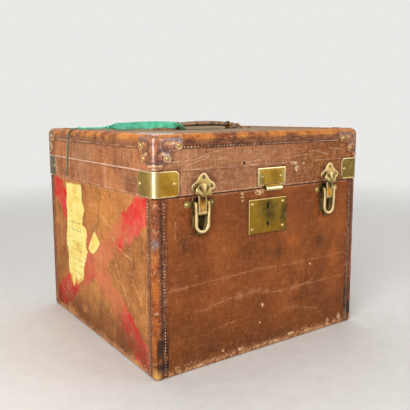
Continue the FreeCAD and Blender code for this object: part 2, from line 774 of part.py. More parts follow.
def make_handle():
    end_top = handle_z + grip_end_thickness / 2
    end_bottom = handle_z - grip_end_thickness / 2
    mid_top = handle_z + grip_arch + grip_thickness / 2
    mid_bottom = mid_top - grip_thickness
    sides = [Part.makeLine(handle_point(x, end_bottom), handle_point(x, end_top))
             for x in (-grip_half_length, grip_half_length)]
    arches = [arch_face(end_top, mid_top), arch_face(end_bottom, mid_bottom)]
    profile = Part.Face(Part.Wire(Part.__sortEdges__(arches + sides)))
    profile.translate(FRONT * grip_width)
    profile = profile.extrude(BACK * 2 * grip_width)
    plan_edges = []
    for side in (-1, 1):
        end = V(0, side * grip_end_width / 2, -grip_width)
        middle = V(0, side * grip_width / 2, -grip_width)
        along = RIGHT * grip_half_length
        axis = handle_point(0, handle_z)
        plan_edges.append(Part.Arc(axis + end - along, axis + middle, axis + end + along).toShape())
    for x in (-grip_half_length, grip_half_length):
        axis = handle_point(x, handle_z - grip_width)
        plan_edges.append(Part.makeLine(axis + FRONT * grip_end_width / 2, axis + BACK * grip_end_width / 2))
    plan = Part.Face(Part.Wire(Part.__sortEdges__(plan_edges))).extrude(UP * 2 * grip_width)
    grip = profile.common(plan)
    spindles = []
    for side in (-1, 1):
        inner = side * (grip_half_length - spindle_grip_depth)
        head = side * (eye_outer + handle_side_gap)
        tip = head + side * spindle_head
        shaft = rod(spindle_radius, handle_point(inner, handle_z), handle_point(tip, handle_z))
        cap = rod(spindle_head_radius, handle_point(head, handle_z), handle_point(tip, handle_z))
        spindles.append(join(shaft, cap))
        socket = rod(spindle_radius + press_play, handle_point(inner, handle_z), handle_point(tip, handle_z))
        grip = grip.cut(socket)
    parts["handle_grip"] = grip
    parts["handle_spindles"] = Part.makeCompound(spindles)


# Ribbon: a loop on edge round the handle's left end, a knot, a twisted run and a hanging string
def make_ribbon():
    knot = V(ribbon_knot_inset - lid_half_width, ribbon_knot_back,
             lid_cover_top + ribbon_knot_radius + ribbon_lift)
    under_x = handle_x - grip_half_length + ribbon_twist_radius * 2
    eye_x = handle_x - handle_eye_spacing / 2
    half = ribbon_loop_half_width
    narrow = ribbon_knot_radius / 2
    away = (V(eye_x, handle_y, 0) - V(knot.x, knot.y, 0)).normalize()
    across = V(-away.y, away.x, 0)
    tie = V(knot.x, knot.y, 0) + away * (ribbon_knot_radius + ribbon_thickness)
    bottom = lid_cover_top + ribbon_lift
    corners = [tie - across * narrow, V(eye_x, handle_y - half, 0), V(under_x, handle_y - half / 2, 0),
               V(under_x, handle_y + half / 2, 0), V(eye_x, handle_y + half, 0), tie + across * narrow]
    line = Part.makePolygon(corners + corners[:1])
    ring = Part.Face(line.makeOffset2D(ribbon_thickness / 2))
    ring = ring.cut(Part.Face(line.makeOffset2D(-ribbon_thickness / 2)))
    ring.translate(UP * bottom)
    strip_bottom = chape_top + ribbon_lift
    strip_top = strip_bottom + ribbon_width
    loop = ring.extrude(UP * (strip_top - bottom))
    grip_side = handle_x - grip_half_length - handle_side_gap - handle_eye_thickness / 2
    over_grip = block(grip_side, far, -far, far, bottom + ribbon_under_grip, far)
    under_strip = block(-far, handle_x - eye_outer, -far, far, 0, strip_bottom)
    parts["ribbon_loop"] = loop.cut([over_grip, under_strip])
    parts["ribbon_knot"] = Part.makeSphere(ribbon_knot_radius, knot)
    twist_z = trunk_height + ribbon_lift + ribbon_twist_radius
    edge = V(-lid_half_width + 2 * lid_edge_radius, ribbon_edge_back, twist_z)
    start = knot + (edge - knot).normalize() * (ribbon_knot_radius + ribbon_lift)
    parts["ribbon_twist"] = rod(ribbon_twist_radius, start, edge)
    make_string(edge, (edge - start).normalize())


def make_string(start, direction):
    """Thin string: over the lid's edge and down the left side, in straight runs and tangent arcs."""
    side_x = -lid_half_width - binding_skin - string_radius - string_clear
    points = [start + direction * string_radius,
              V(side_x, start.y + 6.0, start.z - 0.6),
              V(side_x, start.y + 8.5, trunk_height - 23.0),
              V(side_x - 0.4, start.y + 13.0, trunk_height - 48.0),
              V(side_x, start.y + 18.5, trunk_height - 72.0),
              V(side_x - 0.3, start.y + 22.5, trunk_height - 92.0)]
    edges = []
    radii = []
    at = points[0]
    for before, corner, after in zip(points, points[1:], points[2:]):
        into = (corner - before).normalize()
        out = (after - corner).normalize()
        turn = into.getAngle(out)
        reach = 0.45 * min((corner - before).Length, (after - corner).Length)
        radius = reach / math.tan(turn / 2)
        radii.append(round(radius, 1))
        bulge = (out - into).normalize()
        middle = corner + bulge * (radius / math.cos(turn / 2) - radius)
        edges.append(Part.LineSegment(at, corner - into * reach).toShape())
        edges.append(Part.Arc(corner - into * reach, middle, corner + out * reach).toShape())
        at = corner + out * reach
    edges.append(Part.LineSegment(at, points[-1]).toShape())
    path = Part.Wire(edges)
    section = Part.Wire(Part.makeCircle(string_radius, points[0], points[1] - points[0]))
    tube = path.makePipeShell([section], True, False)
    expected = math.pi * string_radius ** 2 * path.Length
    print("string radii", radii, "length", round(path.Length, 1))
    print("string volume share", round(tube.Volume / expected, 4))
    parts["ribbon_string"] = tube


DRILLED = ("body_cover", "body_front_board", "body_back_board", "lock_plate", "lock_case", "latch_left_base",
           "latch_right_base", "hinge_body_leaves", "hinge_lid_leaves", "lid_cover", "lid_rim_band",
           "lid_edge_binding", "lid_front_board", "lid_back_board", "lid_left_board", "lid_right_board",
           "lid_top_board", "hasp_plate", "latch_left_keeper", "latch_right_keeper", "handle_chapes")
DRILLED_GROUPS = ("corner_cap_", "rim_plate_")


def drill_parts():
    """Cut the nail holes in every piece that a nail goes through."""
    names = [n for n in parts if n in DRILLED or n.startswith(DRILLED_GROUPS)]
    for name in names:
        solids = []
        for solid in parts[name].Solids:
            through = [d for d in drills if d.BoundBox.intersect(solid.BoundBox)]
            solids.append(solid.cut(through) if through else solid)
        parts[name] = solids[0] if len(solids) == 1 else Part.makeCompound(solids)


def build():
    make_body_boards()
    make_body_covers()
    make_body_lining()
    make_rim_lip()
    make_corner_bindings()
    case_rivets = make_lock()
    lid_rivets = make_hasp()
    pivot_pins = []
    latch_x = half_width - latch_inset
    for name, x in (("latch_left", -latch_x), ("latch_right", latch_x)):
        case_rivets += make_latch_base(name, x)
        make_latch_lever(name, x)
        make_latch_link(name, x)
        pivot_pins += latch_pivot_pins(x)
        lid_rivets += make_keeper(name, x)
    parts["latch_pivot_pins"] = Part.makeCompound(pivot_pins)
    make_lid_boards()
    make_lid_skins()
    trim_nails = make_corner_caps()
    trim_nails += make_rim_plates()
    body_screws, lid_screws = make_hinges()
    trim_nails += make_handle_mounts()
    make_handle()
    make_ribbon()
    parts["case_rivets"] = Part.makeCompound(case_rivets + body_screws)
    parts["lid_rivets"] = Part.makeCompound(lid_rivets + lid_screws)
    parts["trim_nails"] = Part.makeCompound(trim_nails)
    drill_parts()


build()
os.makedirs("parts", exist_ok=True)
for node, shape in parts.items():
    if not shape.isValid() or not shape.Solids:
        print("check this piece:", node, len(shape.Solids), shape.isValid())
    shape.exportStep("parts/" + node + ".step")
print("pieces", len(parts), "solids", sum(len(shape.Solids) for shape in parts.values()))
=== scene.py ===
# %% [markdown]
# # An old leather travel trunk
#
# The trunk is a wooden box under leather cloth, with stitched leather over its edges and brass fittings.
# Its construction comes in as a fixed frame, and this lesson dresses it. New forms are formulas on a grid
# of two parameters, and their sizes are read from the frame wherever it knows them, so the two can't
# drift apart.

# %% Load the frame
import math

import bmesh
import bpy
import numpy as np
from mathutils import Matrix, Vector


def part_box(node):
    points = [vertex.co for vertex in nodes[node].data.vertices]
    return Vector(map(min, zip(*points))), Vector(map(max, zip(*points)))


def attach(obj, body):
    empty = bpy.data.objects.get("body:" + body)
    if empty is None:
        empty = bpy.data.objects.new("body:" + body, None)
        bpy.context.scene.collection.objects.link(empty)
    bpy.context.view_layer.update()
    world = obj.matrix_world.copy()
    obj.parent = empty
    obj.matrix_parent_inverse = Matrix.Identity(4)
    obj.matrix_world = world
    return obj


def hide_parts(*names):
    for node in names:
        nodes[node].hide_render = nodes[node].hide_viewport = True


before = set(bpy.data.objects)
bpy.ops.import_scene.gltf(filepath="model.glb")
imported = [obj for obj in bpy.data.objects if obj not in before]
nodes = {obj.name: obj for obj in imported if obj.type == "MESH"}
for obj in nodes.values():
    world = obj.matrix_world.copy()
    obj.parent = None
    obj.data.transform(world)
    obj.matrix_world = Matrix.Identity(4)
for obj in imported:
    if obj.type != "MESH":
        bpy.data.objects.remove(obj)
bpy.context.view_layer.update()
MM = 0.001


# %% [markdown]
# ## Sizes from the frame
#
# A maker measures the box before cutting the leather. Each node's box gives outer sizes in metres; here
# they become millimetres, which are easier to read. Only the roundings can't be read from a box, so they
# are written down once.

# %% Measure the trunk
def mm_box(node):
    """Lowest and highest corner of a node, in millimetres."""
    low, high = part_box(node)
    return np.array(low) / MM, np.array(high) / MM


half_width, half_depth, body_top = mm_box("body_cover")[1]
lid_half_width, lid_half_depth, lid_cover_top = mm_box("lid_cover")[1]
lid_bottom = mm_box("lid_cover")[0][2]
trunk_top = mm_box("lid_edge_binding")[1][2]
lid_binding_bottom = mm_box("lid_edge_binding")[0][2]
band_out = mm_box("lid_rim_band")[1][0] - lid_half_width
band_top = mm_box("lid_rim_band")[1][2]
body_corner_radius = 10.0
bottom_edge_radius = 5.0
lid_corner_radius = 11.2
lid_edge_radius = 9.5
print("body half sizes", half_width, half_depth, "lid from", lid_bottom, "to", trunk_top)


# %% [markdown]
# ## Meshes from grids
#
# Blender can build a form by hand, by modifiers or from numbers. Numbers suit this trunk: a rolled edge
# or a stamped plate is one profile carried along one path. A grid of points becomes a mesh by joining
# neighbours with four-cornered faces; merging doubles then closes the seams and the poles.

# %% Grid helpers
UP = np.array([0.0, 0.0, 1.0])


def unit(vectors):
    """Vectors of the same directions, each of length 1."""
    return vectors / np.linalg.norm(vectors, axis=-1, keepdims=True)


def circle(count):
    """Angles once round, evenly spread; the last one stops short of the first."""
    return np.linspace(0, math.tau, count, endpoint=False)


def crowded(count):
    """Numbers from -1 to 1, closer together towards both ends, where edges are rounded."""
    return np.sin(np.linspace(-math.pi / 2, math.pi / 2, count))


def squared_oval(angle, power):
    """Cosine and sine with their corners pulled out."""
    across, up = np.cos(angle), np.sin(angle)
    return np.sign(across) * np.abs(across) ** power, np.sign(up) * np.abs(up) ** power


def walked_length(path):
    """Length walked along a path up to each of its points."""
    return np.concatenate([[0], np.cumsum(np.linalg.norm(np.diff(path, axis=0), axis=1))])


def points_at(path, at):
    """Points of a path at given walked lengths, on straight lines between its own points."""
    walked = walked_length(path)
    return np.stack([np.interp(at, walked, path[:, axis]) for axis in range(path.shape[1])], axis=-1)


def faced(**values):
    """Values on a face, followed by zeros for the back that closes it."""
    return {key: np.concatenate([value, 0 * value], axis=-1) for key, value in values.items()}


def grid_faces(rows, columns, close_rows=False, close_columns=False):
    """Faces between neighbouring grid points; a closed direction joins its last line to its first."""
    row_count = rows if close_rows else rows - 1
    column_count = columns if close_columns else columns - 1
    i, j = np.meshgrid(np.arange(row_count), np.arange(column_count), indexing="ij")
    down = (i + 1) % rows
    right = (j + 1) % columns
    corners = (i * columns + j, down * columns + j, down * columns + right, i * columns + right)
    return np.stack(corners, axis=-1).reshape(-1, 4)


def grid_patch(points, close_rows=False, close_columns=False, **attributes):
    """A patch: the points, their faces, and values that the finish can read at each point."""
    faces = grid_faces(points.shape[0], points.shape[1], close_rows, close_columns)
    values = {key: np.broadcast_to(value, points.shape[:2]).ravel() for key, value in attributes.items()}
    return points.reshape(-1, 3), faces, values


def clean_mesh(mesh, merge, sharp_angle, flatten=0.0):
    """Merges close points, joins nearly flat faces, turns faces outwards and shades them smooth."""
    work = bmesh.new()
    work.from_mesh(mesh)
    bmesh.ops.remove_doubles(work, verts=work.verts, dist=merge * MM)
    if flatten:
        angle = math.radians(flatten)
        bmesh.ops.dissolve_limit(work, angle_limit=angle, verts=work.verts, edges=work.edges)
    bmesh.ops.recalc_face_normals(work, faces=work.faces)
    work.to_mesh(mesh)
    work.free()
    mesh.polygons.foreach_set("use_smooth", np.ones(len(mesh.polygons), dtype=bool))
    mesh.set_sharp_from_angle(angle=math.radians(sharp_angle))


def build_mesh(name, patches, sharp_angle=40.0):
    """One mesh from patches in millimetres, its doubles merged and its faces turned outwards."""
    points = np.concatenate([patch[0] for patch in patches]) * MM
    starts = np.cumsum([0] + [len(patch[0]) for patch in patches])
    faces = np.concatenate([patch[1] + start for patch, start in zip(patches, starts)])
    mesh = bpy.data.meshes.new(name)
    mesh.from_pydata(points.tolist(), [], faces.tolist())
    for key in sorted(set().union(*[patch[2] for patch in patches])):
        layer = mesh.attributes.new(key, "FLOAT", "POINT")
        values = np.concatenate([patch[2].get(key, np.zeros(len(patch[0]))) for patch in patches])
        layer.data.foreach_set("value", values.astype(np.float32))
    clean_mesh(mesh, 0.002, sharp_angle)
    return mesh


def place_piece(name, mesh, body, finish, stands_for=()):
    """Puts a mesh into the scene as a piece that rides on a body."""
    piece = bpy.data.objects.new(name, mesh)
    bpy.context.scene.collection.objects.link(piece)
    mesh.materials.append(finish)
    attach(piece, body)
    if stands_for:
        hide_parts(*stands_for)
    print(name, "has", len(mesh.polygons), "faces")
    return piece


print("a grid of 3 by 4 points has", len(grid_faces(3, 4)), "faces")


# %% [markdown]
# ## A small language for finishes
#
# A finish is a tree of shader nodes. Building it node by node is long to read, so the class below has one
# short method for each kind of node. Patterns read Object coordinates, which are the trunk's own metres,
# so a scratch stays on its board when the lid opens.

# %% Finish helpers
def tint(red, green, blue):
    """A colour written in display values from 0 to 255, as the linear values that a shader takes."""
    shown = np.array([red, green, blue]) / 255
    linear = np.where(shown <= 0.04045, shown / 12.92, ((shown + 0.055) / 1.055) ** 2.4)
    return (*linear.tolist(), 1.0)


def mm_point(a, b):
    """A point on a face, written in millimetres, as metres."""
    return (float(a * MM), float(b * MM))


class Finish:
    """A procedural material; each method adds a node and gives back its output."""

    def __init__(self, name, **plain_values):
        self.material = bpy.data.materials.new(name)
        self.material.use_nodes = True
        self.tree = self.material.node_tree
        self.shader = self.tree.nodes["Principled BSDF"]
        for key, value in plain_values.items():
            self.shader.inputs[key.replace("_", " ")].default_value = value
        self.place = self.add("ShaderNodeTexCoord").outputs["Object"]
        self.x, self.y, self.z = self.parts(self.place)
        self.colour = None

    def add(self, kind, settings=None, **inputs):
        """A node with its settings, and with each named input linked or set."""
        node = self.tree.nodes.new(kind)
        for key, value in (settings or {}).items():
            setattr(node, key, value)
        for key, value in inputs.items():
            self.feed(node.inputs[key.replace("_", " ")], value)
        return node

    def feed(self, socket, value):
        """Links an output to a socket, or sets a plain value on it."""
        if isinstance(value, bpy.types.NodeSocket):
            self.tree.links.new(value, socket)
        else:
            socket.default_value = value

    def math(self, operation, first, second=0.0):
        """One sum on numbers."""
        node = self.add("ShaderNodeMath", {"operation": operation})
        self.feed(node.inputs[0], first)
        self.feed(node.inputs[1], second)
        return node.outputs[0]

    def times(self, *values):
        """Product of several values."""
        product = values[0]
        for value in values[1:]:
            product = self.math("MULTIPLY", product, value)
        return product

    def most(self, *values):
        """Largest of several values."""
        largest = values[0]
        for value in values[1:]:
            largest = self.math("MAXIMUM", largest, value)
        return largest

    def ease(self, value, low, high):
        """0 at low and 1 at high, smooth between; it falls where low is above high."""
        node = self.add("ShaderNodeMapRange", {"interpolation_type": "SMOOTHSTEP"}, Value=value)
        node.inputs["From Min"].default_value = low
        node.inputs["From Max"].default_value = high
        return node.outputs["Result"]

    def rise(self, axis, low, high):
        """The same along the axis x, y or z of the place, with both ends in millimetres."""
        return self.ease(getattr(self, axis), low * MM, high * MM)

    def clouds(self, low, high, *noise_values, **noise_settings):
        """Patches of noise: 0 where it is below low and 1 where it is above high."""
        return self.ease(self.noise(*noise_values, **noise_settings), low, high)

    def parts(self, vector):
        """The three numbers of a vector."""
        return self.add("ShaderNodeSeparateXYZ", Vector=vector).outputs

    def flat(self, across, up):
        """A flat picture's place, from two numbers."""
        return self.add("ShaderNodeCombineXYZ", X=across, Y=up).outputs[0]

    def vector(self, operation, first, second=None, scale=None):
        """One sum on vectors; lengths and products give a number."""
        node = self.add("ShaderNodeVectorMath", {"operation": operation})
        self.feed(node.inputs[0], first)
        if second is not None:
            self.feed(node.inputs[1], second)
        if scale is not None:
            self.feed(node.inputs["Scale"], scale)
        return node.outputs["Value" if operation in ("DOT_PRODUCT", "LENGTH", "DISTANCE") else "Vector"]

    def noise(self, scale, detail=3.0, stretch=None, roughness=0.55):
        """Cloudy noise from 0 to 1, with about 'scale' clouds to a metre."""
        place = self.vector("MULTIPLY", self.place, stretch) if stretch else self.place
        node = self.add("ShaderNodeTexNoise", Vector=place, Scale=scale, Detail=detail, Roughness=roughness)
        return node.outputs["Fac"]

    def cells(self, scale, stretch=None, feature="F1"):
        """Distance to the nearest of scattered points, with about 'scale' points to a metre."""
        place = self.vector("MULTIPLY", self.place, stretch) if stretch else self.place
        node = self.add("ShaderNodeTexVoronoi", {"feature": feature}, Vector=place, Scale=scale)
        return node.outputs["Distance"]

    def warped(self, amount, scale, detail=3.0):
        """The place, shaken by noise, for edges that aren't ruled lines."""
        noise = self.add("ShaderNodeTexNoise", Vector=self.place, Scale=scale, Detail=detail)
        shake = self.vector("SUBTRACT", noise.outputs["Color"], (0.5, 0.5, 0.5))
        return self.vector("ADD", self.place, self.vector("SCALE", shake, scale=amount))

    def mix(self, share, first, second):
        """The first colour where the share is 0, the second where it is 1."""
        node = self.add("ShaderNodeMix", {"data_type": "RGBA"})
        self.feed(node.inputs[0], share)
        self.feed(node.inputs[6], first)
        self.feed(node.inputs[7], second)
        return node.outputs[2]

    def lay(self, tone, *shares):
        """Lays a tone over the colour so far, where the product of the shares is high."""
        self.colour = self.mix(self.times(*shares), self.colour, tint(*tone))

    def ramp(self, value, *stops):
        """A colour for each value, between stops of (value, tone)."""
        node = self.add("ShaderNodeValToRGB", Fac=value)
        while len(node.color_ramp.elements) < len(stops):
            node.color_ramp.elements.new(0.5)
        for element, (position, tone) in zip(node.color_ramp.elements, stops):
            element.position = position
            element.color = tint(*tone)
        return node.outputs["Color"]

    def attribute(self, name):
        """A value that the mesh holds at each of its points."""
        return self.add("ShaderNodeAttribute", {"attribute_name": name}).outputs["Fac"]

    def line(self, flat, start, end, width):
        """1 on a line between two points of a flat picture, fading to 0 at its width; sizes in mm."""
        start, end, width = mm_point(*start), mm_point(*end), width * MM
        span = np.subtract(end, start)
        length = float(np.hypot(*span))
        way = (float(span[0] / length), float(span[1] / length), 0.0)
        offset = self.vector("SUBTRACT", flat, (*start, 0.0))
        reach = self.math("MAXIMUM", self.vector("DOT_PRODUCT", offset, way), 0.0)
        along = self.math("MINIMUM", reach, length)
        distance = self.vector("DISTANCE", offset, self.vector("SCALE", way, scale=along))
        return self.ease(distance, width, 0.25 * width)

    def spot(self, flat, centre, radii, soft=0.5):
        """1 inside an oval of a flat picture, fading to 0 at its rim; sizes in mm."""
        offset = self.vector("SUBTRACT", flat, (*mm_point(*centre), 0.0))
        wide, tall = mm_point(*radii)
        share = self.vector("LENGTH", self.vector("MULTIPLY", offset, (1 / wide, 1 / tall, 0.0)))
        return self.ease(share, 1.0, 1.0 - soft)

    def spots(self, flat, ovals, soft=0.5):
        """The largest of several spots, each given as its centre and radii."""
        return self.most(*[self.spot(flat, centre, radii, soft) for centre, radii in ovals])

    def lines(self, flat, strokes, broader=1):
        """The largest of several lines, each given as its start, end and width."""
        return self.most(*[self.line(flat, start, end, broader * width) for start, end, width in strokes])

    def borders(self, flat, boxes, reach):
        """The largest of several borders, each given as a rectangle's two corners."""
        return self.most(*[self.around(flat, low, high, reach) for low, high in boxes])

    def around(self, flat, low, high, reach):
        """1 at the border of a rectangle, fading to 0 at a distance outside it; sizes in mm."""
        low, high = mm_point(*low), mm_point(*high)
        middle = ((low[0] + high[0]) / 2, (low[1] + high[1]) / 2, 0.0)
        half = ((high[0] - low[0]) / 2, (high[1] - low[1]) / 2, 0.0)
        offset = self.vector("ABSOLUTE", self.vector("SUBTRACT", flat, middle))
        sides = self.parts(self.vector("SUBTRACT", offset, half))
        return self.ease(self.most(sides[0], sides[1]), reach * MM, 0.0)

    def bump(self, height, distance, strength=1.0):
        """Adds fine relief: the height is 0 to 1, the distance is its depth in metres."""
        node = self.add("ShaderNodeBump", Height=height, Distance=distance, Strength=strength)
        before = self.shader.inputs["Normal"].links
        if before:
            self.tree.links.new(before[0].from_socket, node.inputs["Normal"])
        self.tree.links.new(node.outputs["Normal"], self.shader.inputs["Normal"])

    def done(self, roughness):
        """The material, with the colour so far and a roughness."""
        self.feed(self.shader.inputs["Base Color"], self.colour)
        self.feed(self.shader.inputs["Roughness"], roughness)
        return self.material


print("white as a shader takes it:", tint(255, 255, 255))


# %% [markdown]
# ## Leather cloth of the body
#
# The body is covered with leather cloth: brown on the front, lighter and more golden on the left side, where
# the leather is drier and the lamp light from the left is painted into its colour, with rubbed edges, stains
# and long scratches. A painted shadow darkens it round the fittings and along the parting line. All of it
# could be painted into an image; masks worked out from the place are sharper and need no file. A scratch is
# the distance to a line, a stain the distance to a point, and noise eats the edges of both.

# %% Body leather
front_scratches = (
    ((-205, 143), (-132, 145.5), 1.4), ((-132, 145.5), (-13, 149.5), 1.3), ((-13, 149.5), (57, 145.5), 1.1),
    ((57, 145.5), (206, 147.5), 1.3), ((-150, 98), (-97, 107), 1.8), ((-97, 107), (-28, 110.5), 2.4),
    ((-130, 100), (-60, 113), 1.4), ((-70, 104), (-5, 113), 1.3), ((-28, 110.5), (22, 101), 1.4),
    ((-20, 105), (40, 98), 1.2), ((22, 101), (68, 101), 1.7), ((60, 102), (116, 101), 2.8),
    ((50, 96), (118, 107), 1.3), ((116, 101), (208, 101.5), 1.0), ((39, 64), (65, 62), 2.0),
    ((65, 62), (128, 48), 1.1), ((-191.6, 253), (-191.5, 225), 1.6), ((-120, 60), (-70, 66), 0.9),
)
front_chips = (
    ((-9, 82), (3.6, 5.6)), ((193, 17), (6.5, 8.0)), ((160, 13), (5.5, 9.0)), ((109, 139), (4.0, 3.0)),
    ((-15, 50), (3.0, 3.0)), ((-19, 287), (14.0, 8.0)), ((-56, 286), (5.0, 3.2)), ((-57, 280), (4.0, 2.8)),
    ((-56, 273), (3.0, 3.0)), ((105, 9), (13.0, 4.0)), ((-59, 13), (8.0, 4.0)), ((-97, 19), (4.0, 3.0)),
    ((-148, 6), (11.0, 4.0)), ((20, 7), (14.0, 3.5)), ((62, 12), (10.0, 4.0)), ((-20, 8), (8.0, 3.0)),
)
front_stains = (
    ((67, 121), (14.0, 28.0)), ((-45, 34), (30.0, 18.0)), ((37, 17), (48.0, 12.0)),
    ((191, 59), (14.0, 34.0)), ((131, 182), (24.0, 28.0)), ((-175, 219), (18.0, 38.0)),
    ((145, 48), (40.0, 9.0)), ((-130, 30), (50.0, 16.0)), ((25, 172), (30.0, 14.0)),
    ((85, 78), (40.0, 12.0)),
)
front_fittings = (((-43, 213), (43, 273)), ((-162, 229), (-129, 288)), ((129, 229), (162, 288)))
front_glows = (((142, 236), (34.0, 30.0)), ((60, 190), (22.0, 16.0)), ((172, 150), (20.0, 30.0)))


def leather_grain(finish, depth):
    """Fine pressed grain: two directions of short creases, and pebbles."""
    across = finish.noise(800, 2, (1.0, 1.0, 0.2))
    upright = finish.noise(800, 2, (0.2, 0.2, 1.0))
    pebbles = finish.cells(560)
    grain = finish.math("ADD", finish.math("ADD", across, upright), pebbles)
    finish.bump(grain, depth)
    return finish.ease(grain, 0.75, 1.65)


def mottled(finish, dark, pale, amount):
    """Uneven wear: threads worn both ways, flecks and grit, darker and paler than the colour so far."""
    level = finish.noise(380, 3, (0.12, 0.12, 1.0))
    upright = finish.noise(380, 3, (1.0, 1.0, 0.12))
    threads = finish.math("ADD", level, upright)
    flecks = finish.noise(110, 6, roughness=0.7)
    grit = finish.noise(290, 3, roughness=0.6)
    wear = ((grit, 0.48, 0.52, 0.20, 1.1), (threads, 1.0, 1.0, 0.24, 0.8), (flecks, 0.48, 0.52, 0.20, 1.4))
    for pattern, low, high, reach, strength in wear:
        darker = finish.times(finish.ease(pattern, low, low - reach), strength * amount)
        paler = finish.times(finish.ease(pattern, high, high + reach), strength * amount)
        finish.colour = finish.mix(paler, finish.mix(darker, finish.colour, dark), pale)


def make_body_leather():
    finish = Finish("body_leather", Specular_IOR_Level=0.18)
    grain = leather_grain(finish, 0.35 * MM)
    blotches = finish.noise(12, 5)
    brown = finish.ramp(blotches, (0.30, (114, 59, 26)), (0.50, (135, 72, 31)), (0.70, (157, 86, 36)))
    # Painted light: a lighter, golden copy of the leather for the lit left side, over drier leather.
    golden = finish.ramp(blotches, (0.30, (146, 86, 44)), (0.50, (186, 118, 62)), (0.70, (210, 140, 76)))
    left_side = finish.rise("x", -(half_width - 0.5), -(half_width - 0.2))
    finish.colour = finish.mix(left_side, brown, golden)
    streaks = finish.noise(60, 4, (1.0, 1.0, 0.12))
    finish.lay((92, 48, 26), finish.ease(streaks, 0.50, 0.74), 0.35)

    shaken = finish.warped(5.0 * MM, 60)
    wobbling = finish.parts(shaken)
    front = finish.rise("y", -(half_depth - 1.0), -(half_depth - 0.4))
    front_flat = finish.flat(wobbling[0], wobbling[2])
    finish.lay((176, 92, 36), finish.spots(front_flat, front_glows, 0.9), front, 0.7)
    stains = finish.spots(front_flat, front_stains, 0.9)
    finish.lay((66, 40, 26), stains, finish.clouds(0.34, 0.62, 70, 4), front, 0.60)
    finish.lay((92, 48, 20), finish.rise("z", 140, 0), front, 0.60)
    # Painted shadow round the fittings, broken up by noise like dirt.
    darkening = finish.borders(front_flat, front_fittings, 7)
    finish.lay((58, 34, 21), darkening, finish.clouds(0.25, 0.60, 90, 4), front, 0.75)
    haze = finish.lines(front_flat, front_scratches, 5)
    finish.lay((184, 122, 78), haze, finish.clouds(0.40, 0.70, 55, 5), front, 0.36)
    scratches = finish.times(finish.lines(front_flat, front_scratches),
                             finish.clouds(0.34, 0.68, 90, 6, roughness=0.7), front, 0.62)
    finish.lay((204, 148, 102), scratches)
    chipped = finish.times(finish.spots(front_flat, front_chips), finish.clouds(0.38, 0.50, 240, 3), front)
    finish.lay((230, 192, 140), chipped)

    left_side_wear(finish, wobbling, left_side)
    rub = finish.math("ADD", finish.noise(130, 4), finish.times(finish.noise(18, 2), 0.5))
    low_edge = finish.times(finish.rise("z", 16, 2), finish.ease(rub, 0.58, 0.84))
    low_edge = finish.most(low_edge, finish.times(finish.rise("z", 5, 2), left_side, 0.8))
    scuffs = finish.times(finish.rise("z", 24, 5), finish.clouds(0.54, 0.64, 170, 5))
    finish.lay((218, 174, 130), scuffs, 0.8)
    top_edge = finish.times(finish.rise("z", body_top - 6, body_top), finish.ease(rub, 0.56, 0.82))
    finish.lay((206, 150, 104), low_edge, 0.85)
    finish.lay((202, 142, 104), top_edge, 0.65)
    # Painted shadow along the parting line under the lid, weaker on the lit left side.
    parting = finish.rise("z", body_top - 1.5, body_top - 0.9)
    parting = finish.times(parting, finish.math("SUBTRACT", 0.9, finish.times(left_side, 0.8)))
    finish.lay((40, 22, 15), parting)
    finish.bump(finish.math("SUBTRACT", blotches, finish.most(scratches, chipped)), 1.2 * MM)
    roughness = finish.ease(finish.math("ADD", finish.noise(45, 3), finish.times(grain, 0.3)), -0.65, 1.35)
    return finish.done(roughness)


# %% [markdown]
# ## Marks on the left side
#
# The left side has a worn red saltire, a common way to mark a trunk. Each stripe is the distance to a
# diagonal. Paint wears off in the middle first, so the noise that eats it is stronger there, and a pink
# ghost stays behind. Dirt, scratches and nicks come last, because they lie over the paint.

# %% Marks on the left side
left_scratches = (
    ((-64, 212), (-103, 192), 1.6), ((-103, 192), (-143, 182), 1.6), ((-30, 240), (-70, 222), 1.3),
    ((0, 222), (-30, 150), 1.2), ((-96, 150), (-140, 96), 1.6), ((-120, 250), (-150, 170), 1.1),
    ((20, 250), (-18, 256), 1.2), ((150, 60), (118, 44), 1.6), ((60, 46), (20, 30), 1.2),
    ((-150, 150), (-176, 120), 1.4),
)


def saltire(finish, place):
    """Two worn stripes from corner to corner: the distance to each diagonal, eaten by noise."""
    rise = body_top / 2
    slant = math.hypot(half_depth, rise)
    height = finish.math("SUBTRACT", place[2], rise * MM)
    across = finish.times(place[1], rise / slant)
    up = finish.times(height, half_depth / slant)
    falling = finish.math("ABSOLUTE", finish.math("ADD", across, up))
    rising = finish.math("ABSOLUTE", finish.math("SUBTRACT", up, across))
    ragged = finish.times(finish.math("SUBTRACT", finish.noise(28, 4), 0.5), 34 * MM)
    falling = finish.math("ADD", falling, ragged)
    rising = finish.math("SUBTRACT", rising, ragged)
    stripe = finish.most(finish.ease(falling, 28 * MM, 22 * MM), finish.ease(rising, 28 * MM, 22 * MM))
    reach = finish.math("ABSOLUTE", finish.math("ADD", place[1], 25 * MM))
    kept = finish.math("ADD", finish.noise(24, 5), finish.times(reach, 0.9 / (half_depth * MM)))
    fine = finish.clouds(0.24, 0.54, 120, 5, (1.0, 1.0, 0.6))
    return finish.times(stripe, finish.ease(kept, 0.80, 0.98), fine), stripe


